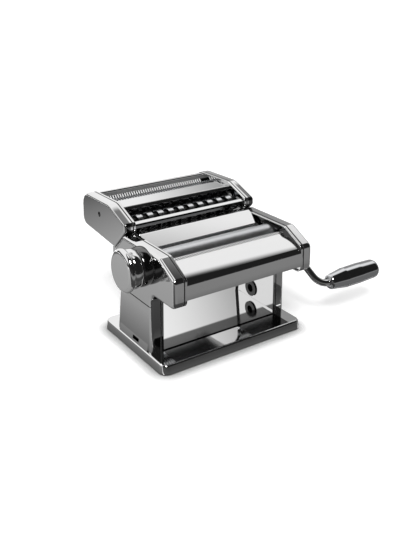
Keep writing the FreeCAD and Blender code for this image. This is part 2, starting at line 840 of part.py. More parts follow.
def head_covers():
    """Sheet covers, guides, scrapers and tie rods between the side plates."""
    front = "-(head_front - plate_wall)"
    bent_sheet("front_cover", [
        ("-front_lip_y", "front_lip_z - front_lip_drop", ""),
        ("-front_lip_y", "front_lip_z", "front_lip_roll"),
        (front, "front_bend_z", "front_bend"),
        (front, "front_hem_z", ""),
    ])
    slope = "head_slope - plate_wall*sqrt(2)"
    back = "head_back - plate_wall"
    bent_sheet("rear_cover", [
        (back, "rear_hem_z", ""),
        (back, slope + " - (" + back + ")", "back_corner - plate_wall"),
        ("feed_back_y + rear_lip_gap", slope + " - feed_back_y - rear_lip_gap", ""),
    ])
    feed = bent_sheet("feed_plate", [
        ("feed_back_y", "feed_high_z - feed_back_drop", ""),
        ("feed_back_y", "feed_high_z", "bend_radius/2"),
        ("feed_high_y", "feed_high_z", "bend_radius"),
        ("-feed_low_y", "feed_low_z", ""),
    ], "flange_x", "feed_wall")
    tab = [
        ("-web_x", "feed_high_z - feed_back_drop", ""),
        ("web_x", "feed_high_z - feed_back_drop", ""),
        ("web_x", "head_top - 2*plate_wall - feed_gap", ""),
        ("-web_x", "head_top - 2*plate_wall - feed_gap", ""),
    ]
    pad(feed, draw(new_sketch(feed, "XZ", "-feed_back_y"), tab), "feed_wall")

    tilt = "sqrt(0.5)"
    for name, y, z, way in (("front", "front_roller_y", "front_roller_z", "-"),
                            ("rear", "rear_roller_y", "roller_z", "")):
        reach = "(roller_radius + scraper_gap)*" + tilt
        tip_y = y + " + " + way + "1*" + reach if way else y + " + " + reach
        tip_z = z + " - " + reach
        hem_y = "%s %s scraper_reach*0.5" % (tip_y, "-" if way else "+")
        blade = [(tip_y, tip_z, ""), (hem_y, tip_z + " - scraper_reach", "")]
        if not way:
            blade = blade[::-1]
        bent_sheet(name + "_scraper", blade)

    places = (("-(head_front - front_rod_inset)", "head_bottom + front_rod_rise"),
              ("-(head_front - chin_rod_inset)", "head_bottom + chin_rod_rise"),
              ("head_back - back_rod_inset", "head_back_low + back_rod_rise"))
    rods = [rod("tie_rod", "-web_x", "web_x", "rod_radius", y, z) for y, z in places]
    group("tie_rods", rods)

    low = "roller_z + throw + neck_radius + cheek_lift"
    cheeks = []
    for side in (-1, 1):
        bar = doc.addObject("Part::Box", "cheek_bar")
        bind(bar, "Length", "web_x - roller_half - cheek_gap")
        bind(bar, "Width", "front_lip_y - roller_radius - cheek_start + cheek_margin")
        bind(bar, "Height", "cheek_height")
        place(bar, "roller_half + cheek_gap" if side > 0 else "-web_x", "-front_lip_y + cheek_start", low)
        cheeks.append(bar)
    group("cheek_bars", cheeks)


def roller_gear(label, y, z, bore, turn, kind=""):
    """Make a gear from a ring and one tooth that is repeated around it."""
    body = new_body(label)
    prefix = kind
    start = "gear_x" if not kind else "-(seam_x + cut_end_gap + cut_gear_width)"
    width = "gear_width" if not kind else "cut_gear_width"
    disc = new_sketch(body, "YZ", start)
    draw_circle(disc, "0", "0", prefix + "gear_root")
    draw_circle(disc, "0", "0", bore)
    pad(body, disc, width)
    root = prefix + "gear_root - tooth_sink"
    low = prefix + "tooth_root_width/2"
    high = prefix + "tooth_tip_width/2"
    tooth = draw(new_sketch(body, "YZ", start), [
        (root, "-" + low, ""),
        (prefix + "gear_tip", "-" + high, ""),
        (prefix + "gear_tip", high, ""),
        (root, low, ""),
    ])
    repeat(body, pad(body, tooth, width), "PolarPattern", "X_Axis", "360", "gear_teeth")
    place(body, "0", y, z, turn)
    return body


def rollers():
    """Both dough rollers with their gears and bushes."""
    end = "cover_inside_x - socket_gap*3"
    rear = turned("rear_roller", [
        ("-(seam_x + gear_offset)", "0", ""),
        (end, "0", ""),
        (end, "journal", ""),
        ("roller_half", "journal", ""),
        ("roller_half", "roller_radius", ""),
        ("-roller_half", "roller_radius", ""),
        ("-roller_half", "journal", ""),
        ("-(seam_x + gear_offset)", "journal", ""),
    ], "rear_roller_y", "roller_z", "crank_turn_angle")
    pocket(rear, draw(new_sketch(rear, "YZ", end), hexagon("socket_flats")), "socket_depth")
    roller_gear("rear_gear", "rear_roller_y", "roller_z", "journal + press_gap",
                "180/gear_teeth - mesh_lead")
    bushes = []
    for side in (-1, 1):
        near = "seam_x - bush_length + bush_proud"
        far = "seam_x + bush_proud"
        start, stop = (near, far) if side > 0 else ("-(%s)" % far, "-(%s)" % near)
        bushes.append(ring("roller_bush", start, stop, "journal + running_gap",
                           "journal + running_gap + bush_wall - press_gap", "rear_roller_y", "roller_z"))
    group("rear_roller_bushes", bushes)

    turned("front_roller", [
        ("-roller_half", "roller_bore", ""),
        ("gear_end_x + end_gap", "roller_bore", ""),
        ("gear_end_x + end_gap", "neck_radius", ""),
        ("roller_half", "neck_radius", ""),
        ("roller_half", "roller_radius", ""),
        ("-roller_half", "roller_radius", ""),
    ], "front_roller_y", "front_roller_z")
    roller_gear("front_gear", "front_roller_y", "front_roller_z", "neck_radius + press_gap", "0")
    sleeves = []
    for start in ("-(roller_half - sleeve_inset)", "roller_half - sleeve_inset - sleeve_length"):
        sleeves.append(ring("sleeve", start, start + " + sleeve_length", "cam_radius + running_gap",
                            "sleeve_radius", "front_roller_y", "front_roller_z"))
    group("front_roller_sleeves", sleeves)


def thickness_shaft():
    """Eccentric shaft under the front roller, its bushes, indexed collar and knob."""
    shaft = new_body("eccentric_shaft")
    cam_start = "-(roller_half - cam_inset)"
    cam_end = "gear_end_x + end_gap"
    offset_y = "front_roller_y - shaft_y"
    offset_z = "front_roller_z - shaft_z"
    tip = "knob_bore_end - index_gap"
    left = draw_circle(new_sketch(shaft, "YZ", cam_start), "0", "0", "shaft_radius")
    pad(shaft, left, "%s - (roller_half - cam_inset)" % tip, True)
    cam = draw_circle(new_sketch(shaft, "YZ", cam_start), offset_y, offset_z, "cam_radius")
    pad(shaft, cam, "%s + roller_half - cam_inset" % cam_end)
    right = draw_circle(new_sketch(shaft, "YZ", cam_end), "0", "0", "shaft_radius")
    pad(shaft, right, "cover_inside_x - (%s) - end_gap" % cam_end)
    place(shaft, "0", "shaft_y", "shaft_z")

    bore = "shaft_radius + running_gap"
    wall = bore + " + bush_wall - press_gap"
    plate_bush = ring("plate_bush", "-(seam_x + bush_proud)", "-(seam_x + bush_proud) + bush_length", bore, wall,
                      "shaft_y", "shaft_z")
    cover_bush = ring("cover_bush", "cover_inside_x - cover_bush_length", "cover_inside_x", bore, wall,
                      "shaft_y", "shaft_z")
    group("shaft_bushes", [plate_bush, cover_bush])

    collar = turned("index_collar", ring_profile("-collar_x", "-cover_x", bore, "collar_radius"),
                    "shaft_y", "shaft_z")
    dimple = draw_circle(new_sketch(collar, "YZ", "-collar_x"), "0", "dimple_circle", "dimple_radius")
    cut = pocket(collar, dimple, "dimple_depth", True)
    repeat(collar, cut, "PolarPattern", "X_Axis", "knob_step*(knob_positions - 1)", "knob_positions")

    knob = turned("thickness_knob", [
        ("-knob_bore_end", "0", ""),
        ("-(knob_face_x - knob_cap_seat)", "0", ""),
        ("-(knob_face_x - knob_cap_seat)", "knob_cap_radius", ""),
        ("-knob_face_x", "knob_cap_radius", ""),
        ("-knob_face_x", "knob_rim_radius", "knob_rim_length/3"),
        ("-knob_rim_x", "knob_rim_radius", "knob_rim_length/3"),
        ("-knob_rim_x", "knob_groove_radius", ""),
        ("-knob_groove_x", "knob_groove_radius", ""),
        ("-knob_groove_x", "knob_grip_radius", ""),
        ("-knob_x", "knob_grip_radius", ""),
        ("-knob_x", bore, ""),
        ("-knob_bore_end", bore, ""),
    ], "shaft_y", "shaft_z")
    scallop = draw_circle(new_sketch(knob, "YZ", "-knob_groove_x"), "0",
                          "knob_grip_radius + scallop_radius - scallop_depth", "scallop_radius")
    cut = pocket(knob, scallop, "knob_grip_length", True)
    repeat(knob, cut, "PolarPattern", "X_Axis", "360", "knob_scallops")
    pin = draw_circle(new_sketch(knob, "YZ", "-knob_x"), "0", "dimple_circle", "index_pin")
    pad(knob, pin, "knob_gap - index_gap")

    turned("knob_cap", [
        ("-(knob_face_x - knob_cap_seat)", "0", ""),
        ("-(knob_face_x - knob_cap_seat)", "knob_cap_radius - press_gap", ""),
        ("-knob_face_x", "knob_cap_radius - press_gap", ""),
        ("-(knob_face_x + knob_cap_dome*0.6)", "knob_cap_radius*0.8", "knob_cap_radius*0.6"),
        ("-(knob_face_x + knob_cap_dome)", "0", ""),
    ], "shaft_y", "shaft_z")


def crank():
    """Crank rod with its hexagon plug, the ferrule it enters by and the turning handle."""
    body = new_body("crank_rod")
    path = new_sketch(body, "XY")
    draw(path, [
        ("shoulder_x", "0", ""),
        ("crank_start_x", "0", "crank_bend_in"),
        ("crank_knee_x", "crank_throw", "crank_bend_out"),
        ("crank_tip_x", "crank_throw", ""),
    ], closed=False)
    section = draw_circle(new_sketch(body, "YZ", "shoulder_x"), "0", "0", "crank_rod")
    doc.recompute()
    sweep = body.newObject("PartDesign::AdditivePipe", "crank_rod_sweep")
    sweep.Profile = section
    sweep.Spine = path
    doc.recompute()
    shoulder = draw_circle(new_sketch(body, "YZ", "shoulder_x"), "0", "0", "crank_shoulder")
    pad(body, shoulder, "crank_shoulder_length")
    plug = draw(new_sketch(body, "YZ", "shoulder_x"), hexagon("socket_flats - 2*socket_gap"))
    pad(body, plug, "shoulder_x - plug_tip_x", True)
    place(body, "0", "rear_roller_y", "roller_z", "crank_turn_angle")

    bore = "crank_rod + running_gap"
    turned("crank_grip", [
        ("grip_start_x", bore, ""),
        ("crank_tip_x + index_gap", bore, ""),
        ("crank_tip_x + index_gap", "0", ""),
        ("grip_end_x", "0", ""),
        ("grip_end_x", "grip_end", "grip_round"),
        ("grip_start_x + grip_length*0.62", "grip_belly", "grip_length"),
        ("grip_start_x + grip_taper", "grip_belly - grip_swell", "grip_shoulder_round"),
        ("grip_start_x", "grip_neck", "grip_neck_round"),
    ], "grip_y", "grip_z")
    turned("crank_ferrule", ring_profile("cover_x", "ferrule_x", "ferrule_bore", "ferrule_radius"),
           "rear_roller_y", "roller_z")


def cutter_shell():
    """Side plates, covers and sheet parts of the lift-off cutter unit."""
    outline = cutter_outline()
    axes = (("wide_front_y", False), ("wide_rear_y", True), ("fine_front_y", False), ("fine_rear_y", True))
    for side, name in ((-1, "left"), (1, "right")):
        plate = pressed_plate("cutter_%s_plate" % name, outline, side)
        edge = signed(side, "web_x")
        for y, driven in axes:
            journal = "cut_drive_journal" if driven and side > 0 else "cut_journal"
            drill(plate, journal + " + running_gap + cut_bush_wall", y, "cut_axis_z",
                  edge, "plate_wall", side > 0)
        cover = drawn_cover("cutter_%s_cover" % name, outline, side, "cut_cover_depth", "cut_edge")
        wall = signed(side, "cut_inside_x")
        drill(cover, "rivet_radius + rivet_gap", "rivet_y", "rivet_z", wall, "cover_wall", side > 0)
        if side > 0:
            for y, driven in axes:
                if driven:
                    drill(cover, "drive_hole", y, "cut_axis_z", wall, "cover_wall", True)

    bent_sheet("cutter_front_lip", [
        ("lip_back_y + lip_flare", "lip_top_z - lip_drop", ""),
        ("lip_back_y", "lip_top_z", "bend_radius/2"),
        ("cut_front + plate_wall", "lip_top_z - lip_fall", "bend_radius/2"),
        ("cut_front + plate_wall", "cut_plane - cut_front + lip_hem", ""),
    ])
    bent_sheet("cutter_middle_cover", [
        ("mid_back_y", "mid_top_z - mid_drop", ""),
        ("mid_back_y", "mid_top_z", "bend_radius/2"),
        ("mid_front_y", "mid_top_z", "bend_radius/2"),
        ("mid_front_y", "mid_top_z - mid_drop", ""),
    ])
    roof = "cut_back_top + (cut_break_z - cut_back_top)*(cut_back - tail_y)/(cut_back - cut_break_y)"
    bent_sheet("cutter_rear_cover", [
        ("cut_back - plate_wall - press_gap", "cut_back_low + cut_heel_corner", ""),
        ("cut_back - plate_wall - press_gap", "cut_back_top - plate_wall - 2*press_gap",
         "cut_back_corner - plate_wall"),
        ("tail_y", roof + " - plate_wall - 2*press_gap", "bend_radius/2"),
        ("tail_y + tail_lean", "cut_back_top - tail_panel", ""),
    ])
    middle = "(wide_rear_y + fine_front_y)/2"
    rods = [rod("cutter_rod", "-web_x", "web_x", "rod_radius", y, "cut_rod_z")
            for y in (middle, "cut_back - cut_rod_inset")]
    group("cutter_tie_rods", rods)

    bushes = []
    for y, driven in axes:
        for side in (-1, 1):
            journal = "cut_drive_journal" if driven and side > 0 else "cut_journal"
            near = "seam_x - bush_length + cut_bush_proud"
            far = "seam_x + cut_bush_proud"
            start, stop = (near, far) if side > 0 else ("-(%s)" % far, "-(%s)" % near)
            bushes.append(ring("cutter_bush", start, stop, journal + " + running_gap",
                               journal + " + running_gap + cut_bush_wall - press_gap", y, "cut_axis_z"))
    group("cutter_bushes", bushes)

    rivets = []
    for side in (-1, 1):
        flange_in = "cut_inside_x - rivet_flange"
        tip = "cut_cover_x - rivet_sunk"
        flange = rod("rivet_flange", flange_in if side > 0 else "-cut_inside_x",
                     "cut_inside_x" if side > 0 else "-(%s)" % flange_in,
                     "rivet_radius + rivet_flange", "rivet_y", "rivet_z")
        stem = rod("rivet_stem", flange_in if side > 0 else "-(%s)" % tip,
                   tip if side > 0 else "-(%s)" % flange_in, "rivet_radius", "rivet_y", "rivet_z")
        rivet = doc.addObject("Part::Fuse", "cover_rivet")
        rivet.Base, rivet.Tool = flange, stem
        rivets.append(rivet)
    group("cutter_cover_rivets", rivets)


def cutter_roller(label, y, discs, pitch, gap, driven):
    """Make a cutting roller: a core with a row of square discs."""
    left = "-(seam_x + cut_end_gap + cut_gear_width + cut_shaft_proud)"
    right = "cut_inside_x - cut_shaft_proud" if driven else "seam_x + cut_stub"
    journal = "cut_drive_journal" if driven else "cut_journal"
    body = turned(label, [
        (left, "0", ""),
        (right, "0", ""),
        (right, journal, ""),
        ("roller_half", journal, ""),
        ("roller_half", "disc_core", ""),
        ("-roller_half", "disc_core", ""),
        ("-roller_half", "cut_journal", ""),
        (left, "cut_journal", ""),
    ], y, "cut_axis_z")
    width = "(%s)/2 - (%s)/2" % (pitch, gap)
    first = "-((%s) - 1)*(%s)/2 - (%s)/2" % (discs, pitch, width)
    disc = draw_circle(new_sketch(body, "YZ", first), "0", "0", "disc_radius")
    repeat(body, pad(body, disc, width), "LinearPattern", "X_Axis",
           "((%s) - 1)*(%s)" % (discs, pitch), discs)
    if driven:
        socket = draw(new_sketch(body, "YZ", right), hexagon("socket_flats"))
        pocket(body, socket, "socket_depth")
    return body


def comb(label, y, teeth, pitch, gap):
    """Make a stripper comb whose teeth stand up into one roller's grooves."""
    body = new_body(label)
    top = "cut_axis_z - disc_radius - comb_bar_gap"
    front = "-((%s) - comb_wall/2)" % y
    bar = draw(new_sketch(body, "XZ", front), [
        ("-web_x", top + " - comb_depth", ""),
        ("web_x", top + " - comb_depth", ""),
        ("web_x", top, ""),
        ("-web_x", top, ""),
    ])
    pad(body, bar, "comb_wall", True)
    half = "(%s)/4 + (%s)/4 - comb_tooth_gap" % (pitch, gap)
    middle = "-((%s) - 1)*(%s)/2" % (teeth, pitch)
    crown = "cut_axis_z - disc_core - comb_gap"
    tooth = draw(new_sketch(body, "XZ", front), [
        ("%s - (%s)" % (middle, half), top + " - comb_root", ""),
        ("%s + (%s)" % (middle, half), top + " - comb_root", ""),
        ("%s + (%s)" % (middle, half), crown, ""),
        ("%s - (%s)" % (middle, half), crown, ""),
    ])
    repeat(body, pad(body, tooth, "comb_wall", True), "LinearPattern", "X_Axis",
           "((%s) - 1)*(%s)" % (teeth, pitch), teeth)
    return body


def cutters():
    """Wide and fine cutting pairs with their gears and combs."""
    for name in ("wide", "fine"):
        count = name + "_discs"
        pitch = name + "_pitch"
        gap = name + "_disc_gap"
        front = name + "_front_y"
        rear = name + "_rear_y"
        cutter_roller(name + "_front_roller", front, count, pitch, gap, False)
        cutter_roller(name + "_rear_roller", rear, count + " + 1", pitch, gap, True)
        comb(name + "_front_comb", front, count + " + 1", pitch, gap)
        comb(name + "_rear_comb", rear, count, pitch, gap)
        for place_name, y, turn in (("front", front, "0"), ("rear", rear, "180/gear_teeth")):
            roller_gear("%s_%s_gear" % (name, place_name), y, "cut_axis_z",
                        "cut_journal + press_gap", turn, "cut_")


def hooks():
    """Sockets behind the head and the tongues of the cutter that drop into them."""
    sockets = []
    tongues = []
    for side in (-1, 1):
        middle = "flange_x + hook_inset + hook_width/2"
        block = doc.addObject("Part::Box", "hook_block")
        bind(block, "Length", "hook_width")
        bind(block, "Width", "tongue_offset + tongue_wall + hook_gap + hook_wall")
        bind(block, "Height", "hook_height")
        corner = "(%s) - hook_width/2" % middle if side > 0 else "-(%s) - hook_width/2" % middle
        place(block, corner, "head_back", "hook_top - hook_height")
        slot = doc.addObject("Part::Box", "hook_slot")
        bind(slot, "Length", "hook_width - 2*hook_wall")
        bind(slot, "Width", "tongue_wall + 2*hook_gap")
        bind(slot, "Height", "hook_height")
        place(slot, corner + " + hook_wall", "tongue_y - hook_gap", "hook_top - hook_height")
        socket = doc.addObject("Part::Cut", "hook_socket")
        socket.Base, socket.Tool = block, slot
        sockets.append(socket)

        tongue = doc.addObject("Part::Wedge", "tongue")
        rise = "(tongue_y - cut_foot_y)*cut_sole_rise"
        tip = "hook_height - tongue_gap"
        low_z = "hook_top - (%s)" % tip
        for prop, text in (("Xmin", "0"), ("Xmax", "hook_width - 2*hook_wall - 2*hook_gap"),
                           ("X2min", "0"), ("X2max", "hook_width - 2*hook_wall - 2*hook_gap"),
                           ("Ymin", "0"), ("Ymax", "tongue_wall"),
                           ("Zmin", "0"), ("Zmax", "cut_foot_z + %s - (%s)" % (rise, low_z)),
                           ("Z2min", "0"),
                           ("Z2max", "cut_foot_z + %s + tongue_wall*cut_sole_rise - (%s)" % (rise, low_z))):
            bind(tongue, prop, text)
        place(tongue, corner + " + hook_wall + hook_gap", "tongue_y", low_z)
        tongues.append(tongue)
    group("cutter_sockets", sockets)
    group("cutter_tongues", tongues)


def write_parts():
    """Check every object and every sub-part, then write one file for each node."""
    doc.recompute()
    for thing in doc.Objects:
        if "Invalid" in thing.State or "Error" in thing.State:
            raise ValueError("%s failed: %s" % (thing.Label, thing.State))
    for label, thing in nodes.items():
        if thing.Shape.isNull() or not thing.Shape.isValid() or thing.Shape.Volume <= 0:
            raise ValueError(label + " has no valid solid")
    os.makedirs("parts", exist_ok=True)
    for label, thing in nodes.items():
        thing.Shape.exportStep("parts/%s.step" % label)


fill_sheet()
base()
sides()
head_covers()
rollers()
thickness_shaft()
crank()
cutter_shell()
cutters()
hooks()
write_parts()
print("%d nodes written" % len(nodes))
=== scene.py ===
"""Looks of a hand-cranked pasta roller machine: finishes, trim and studio round the CAD frame."""

import logging
import math
from dataclasses import dataclass, field, replace
from enum import Enum
from typing import Any, NamedTuple

import bmesh
import bpy
from mathutils import Matrix, Vector


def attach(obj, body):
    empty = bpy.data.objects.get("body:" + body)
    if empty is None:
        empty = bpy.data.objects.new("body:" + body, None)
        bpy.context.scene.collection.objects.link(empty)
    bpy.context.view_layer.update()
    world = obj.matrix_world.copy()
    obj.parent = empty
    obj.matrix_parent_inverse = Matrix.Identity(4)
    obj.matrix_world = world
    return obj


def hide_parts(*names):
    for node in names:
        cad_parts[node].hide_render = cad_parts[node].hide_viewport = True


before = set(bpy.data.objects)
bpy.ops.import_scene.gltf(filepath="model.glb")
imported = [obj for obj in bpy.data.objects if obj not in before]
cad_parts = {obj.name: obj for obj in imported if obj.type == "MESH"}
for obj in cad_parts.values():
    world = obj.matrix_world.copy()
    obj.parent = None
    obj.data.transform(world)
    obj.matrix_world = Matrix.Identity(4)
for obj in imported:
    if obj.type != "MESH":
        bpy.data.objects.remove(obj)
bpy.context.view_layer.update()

Tree = bpy.types.NodeTree
Socket = bpy.types.NodeSocket
Point = tuple[float, float]

MM = 0.001
WHITE = (1.0, 1.0, 1.0, 1.0)
# A wave texture of scale 1 repeats every 2*pi/20 of its coordinate.
WAVE_PERIOD = math.pi / 10
# Most values of a noise texture lie in this span.
NOISE_SPAN = (0.3, 0.7)
# The knob's axis in millimetres, as Y and Z. The index collar lies on it too.
KNOB_AXIS = (-25.1, 108.7714)

log = logging.getLogger("pasta_roller")


class Slot(Enum):
    """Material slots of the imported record."""

    CHROME = "polished_chrome"
    SATIN = "satin_steel"
    ROLLER = "roller_aluminium"
    GEAR = "gear_steel"
    NYLON = "nylon"
    PLASTIC = "black_plastic"
    RUBBER = "rubber"
    HANDLE = "handle_plating"


class MixSockets(NamedTuple):
    """A Mix node's kind of data, and the numbers of its sockets for that kind.

    They go by number because the node repeats their names for each kind.
    """

    kind: str
    first: int
    second: int
    result: int


MIX_FACTOR = 0
NUMBERS = MixSockets("FLOAT", first=2, second=3, result=0)
COLOURS = MixSockets("RGBA", first=6, second=7, result=2)


class Border(NamedTuple):
    """A soft border: an axis, the value where the region ends and the one where it is full."""

    axis: str
    end: float
    full: float


def linear(colour: str) -> tuple[float, float, float, float]:
    """Turns an sRGB hex colour into linear light.

    Args:
        colour: the colour as "#RRGGBB".

    Returns:
        Red, green, blue and an alpha of 1.
    """
    channels = [int(colour[at:at + 2], 16) / 255 for at in (1, 3, 5)]
    light = [c / 12.92 if c <= 0.04045 else ((c + 0.055) / 1.055) ** 2.4 for c in channels]
    return (light[0], light[1], light[2], 1.0)


def add_node(tree: Tree, kind: str, settings: dict[Any, Any] | None = None,
             links: dict[Any, Socket] | None = None) -> bpy.types.Node:
    """Adds a node with its settings and incoming links.

    Args:
        tree: the node tree that gets the node.
        kind: the node's type.
        settings: values by input name, input number or property name.
        links: source sockets by input name or number.

    Returns:
        The new node.
    """
    node = tree.nodes.new(kind)
    for name, setting in (settings or {}).items():
        if isinstance(name, int) or name in node.inputs:
            node.inputs[name].default_value = setting
        else:
            setattr(node, name, setting)
    for name, source in (links or {}).items():
        tree.links.new(source, node.inputs[name])
    return node


def new_tree(name: str) -> tuple[bpy.types.Material, Tree]:
    """Makes an empty node material.

    Args:
        name: the material's name.

    Returns:
        The material and its node tree.
    """
    material = bpy.data.materials.new(name)
    material.use_nodes = True
    material.node_tree.nodes.clear()
    return material, material.node_tree


def axes(tree: Tree, place: Socket) -> dict[str, Socket]:
    """Splits a coordinate into its parts.

    Args:
        tree: the node tree.
        place: the coordinate.

    Returns:
        Sockets for X, Y, Z and for X without its sign.
    """
    parts = add_node(tree, "ShaderNodeSeparateXYZ", links={0: place})
    size = add_node(tree, "ShaderNodeMath", {"operation": "ABSOLUTE"}, {0: parts.outputs["X"]})
    return {"|X|": size.outputs[0], **{axis: parts.outputs[axis] for axis in "XYZ"}}


def inside(tree: Tree, parts: dict[str, Socket], borders: tuple[Border, ...],
           unit: float = 1.0) -> Socket:
    """Masks the region that several soft borders shut in.

    Args:
        tree: the node tree.
        parts: the coordinate's parts by axis.
        borders: the region's borders.
        unit: length of one unit of the borders.

    Returns:
        A socket that is 0 outside and 1 inside.
    """
    mask: Any = None
    for axis, end, full in borders:
        links = {"Value": parts[axis]}
        if mask:
            links["To Max"] = mask
        ramp = add_node(tree, "ShaderNodeMapRange",
                        {"interpolation_type": "SMOOTHSTEP", "From Min": end * unit,
                         "From Max": full * unit, "To Min": 0.0, "To Max": 1.0}, links)
        mask = ramp.outputs["Result"]
    return mask


@dataclass(frozen=True)
class Mark:
    """A part of a surface in another tone, mostly painted light, within borders in millimetres.

    The axis R of a border is the distance from a line along X, at the mark's centre as Y and Z.
    """

    colour: str
    metallic: float
    roughness: float
    borders: tuple[Border, ...]
    centre: Point = (0.0, 0.0)

    def mask(self, tree: Tree, place: Socket) -> Socket:
        """Masks the mark on the surface.

        Args:
            tree: the material's node tree.
            place: the Object coordinate.

        Returns:
            A socket that is 0 off the mark and 1 on it.
        """
        parts = axes(tree, place)
        if any(border.axis == "R" for border in self.borders):
            arm = add_node(tree, "ShaderNodeVectorMath",
                           {"operation": "MULTIPLY_ADD", 1: (0.0, 1.0, 1.0),
                            2: (0.0, -self.centre[0] * MM, -self.centre[1] * MM)}, {0: place})
            reach = add_node(tree, "ShaderNodeVectorMath", {"operation": "LENGTH"},
                             {0: arm.outputs["Vector"]})
            parts["R"] = reach.outputs["Value"]
        return inside(tree, parts, self.borders, MM)


@dataclass(frozen=True)
class Finish:
    """A surface finish: its common sizes, and the node tree that draws them.

    Grain is the size of the fine pattern that varies the gloss, and with a shade the colour too.
    Relief is that of the bump.
    """

    name: str
    slot: Slot
    colour: str
    metallic: float
    roughness: tuple[float, float]
    grain_mm: float
    relief_mm: float
    relief_depth_mm: float
    shade: float = 0.0
    marks: tuple[Mark, ...] = ()

    def relief(self, tree: Tree, place: Socket) -> Socket:
        """Height of the surface's relief, from 0 to 1.

        Args:
            tree: the material's node tree.
            place: the Object coordinate.

        Returns:
            The socket that carries the height.
        """
        noise = add_node(tree, "ShaderNodeTexNoise",
                         {"Scale": 1 / (self.relief_mm * MM), "Detail": 1.0}, {"Vector": place})
        return noise.outputs["Fac"]

    def lay_marks(self, tree: Tree, place: Socket, settings: dict[str, Any],
                  links: dict[str, Socket]) -> None:
        """Blends the marks' tones into the shader's inputs.

        Args:
            tree: the material's node tree.
            place: the Object coordinate.
            settings: the shader's plain values by input.
            links: its incoming sockets by input, which the blends take over.
        """
        for mark in self.marks:
            mask = mark.mask(tree, place)
            for name, mix, tone in (("Base Color", COLOURS, linear(mark.colour)),
                                    ("Metallic", NUMBERS, mark.metallic),
                                    ("Roughness", NUMBERS, mark.roughness)):
                blend = add_node(tree, "ShaderNodeMix", {"data_type": mix.kind, mix.second: tone},
                                 {MIX_FACTOR: mask})
                if name in links:
                    tree.links.new(links[name], blend.inputs[mix.first])
                else:
                    blend.inputs[mix.first].default_value = settings[name]
                links[name] = blend.outputs[mix.result]

    def material(self) -> bpy.types.Material:
        """Builds the material.

        Returns:
            A node material that reads Object coordinates.
        """
        material, tree = new_tree(self.name)
        place = add_node(tree, "ShaderNodeTexCoord").outputs["Object"]
        colour = linear(self.colour)
        grain = add_node(tree, "ShaderNodeTexNoise",
                         {"Scale": 1 / (self.grain_mm * MM), "Detail": 3.0, "Roughness": 0.6},
                         {"Vector": place}).outputs["Fac"]
        gloss = add_node(tree, "ShaderNodeMapRange",
                         {"From Min": NOISE_SPAN[0], "From Max": NOISE_SPAN[1],
                          "To Min": self.roughness[0], "To Max": self.roughness[1]},
                         {"Value": grain})
        bump = add_node(tree, "ShaderNodeBump",
                        {"Strength": 1.0, "Distance": self.relief_depth_mm * MM},
                        {"Height": self.relief(tree, place)})
        settings = {"Base Color": colour, "Metallic": self.metallic}
        links = {"Roughness": gloss.outputs["Result"], "Normal": bump.outputs["Normal"]}
        if self.shade:
            tint = add_node(tree, "ShaderNodeMapRange",
                            {"To Min": 1 - self.shade, "To Max": 1.0}, {"Value": grain})
            shaded = add_node(tree, "ShaderNodeMix",
                              {"data_type": COLOURS.kind, "blend_type": "MULTIPLY",
                               MIX_FACTOR: 1.0, COLOURS.first: colour},
                              {COLOURS.second: tint.outputs["Result"]})
            links["Base Color"] = shaded.outputs[COLOURS.result]
        self.lay_marks(tree, place, settings, links)
        shader = add_node(tree, "ShaderNodeBsdfPrincipled", settings, links)
        add_node(tree, "ShaderNodeOutputMaterial", links={"Surface": shader.outputs["BSDF"]})
        return material


@dataclass(frozen=True)
class TurnedFinish(Finish):
    """A finish with the fine rings that a lathe tool leaves round the X axis."""

    def relief(self, tree: Tree, place: Socket) -> Socket:
        """Height of the tool rings, from 0 to 1.

        Args:
            tree: the material's node tree.
            place: the Object coordinate.

        Returns:
            The socket that carries the height.
        """
        rings = add_node(tree, "ShaderNodeTexWave",
                         {"wave_type": "BANDS", "bands_direction": "X", "Distortion": 0.0,
                          "Scale": WAVE_PERIOD / (self.relief_mm * MM)}, {"Vector": place})
        return rings.outputs["Fac"]


def painted_seam_shade(*borders: Border) -> Mark:
    """Gives the dark line where two sheets meet: painted shade of the gap between them."""
    return Mark("#0A0A0A", metallic=0.0, roughness=0.6, borders=borders)


def painted_mirror_shade(colour: str, *borders: Border, roughness: float = 0.1) -> Mark:
    """Paints part of a mirror darker: a painted reflection or painted shade, as each use says."""
    return Mark(colour, metallic=1.0, roughness=roughness, borders=borders)


# Edges that marks share, in millimetres: the side plates' rims, those of the covers over them,
# and the end of the rolling head behind the feed plate.
PLATE_RIM = Border("|X|", 79.2, 79.4)
COVER_RIM = Border("|X|", 80.9, 80.7)
HEAD_END = Border("Y", 30.0, 27.0)
# The base tray's top in front of the legs, from its rear to its front border.
TRAY_FRONT = (Border("Y", -36.0, -38.0), Border("Y", -64.5, -63.5))
# The rear cover's inner panel lies in front of this border.
PANEL_FACE = Border("Y", 117.0, 115.0)

# Chromium plate on pressed steel: a mirror whose long, shallow waves bend the reflected edges
# a little.
CHROME = Finish("polished_chromium_plate", Slot.CHROME, "#E9E9E9", metallic=1.0,
                roughness=(0.02, 0.05), grain_mm=9.0, relief_mm=42.0, relief_depth_mm=0.02)
# The same plate on the side plates, with painted shade as a dark line where the cover's rim
# meets them. The right one's inner face gets a painted reflection of the head's dark side.
SEAM = replace(CHROME, name="chromium_plate_with_seam", marks=(
    painted_mirror_shade("#4A4A4A", Border("X", 78.6, 78.9), Border("X", 79.3, 79.1),
               Border("Z", 96.0, 99.0)),
    painted_seam_shade(PLATE_RIM, HEAD_END)))
# The same plate on the side covers: the seam's painted shade goes on, and a faint line of
# painted shade marks the pressed crease.
COVER = replace(CHROME, name="chromium_plate_of_covers", marks=(
    painted_seam_shade(COVER_RIM, HEAD_END),
    painted_mirror_shade("#9C9C9C", Border("Z", 63.6, 64.2), Border("Z", 65.4, 64.8),
               Border("|X|", 91.0, 92.0), roughness=0.12)))
# The same plate and painted seam shade on the cutter's two side plates.
CUTTER_SEAM = replace(CHROME, name="chromium_plate_with_cutter_seam", marks=(painted_seam_shade(PLATE_RIM),))
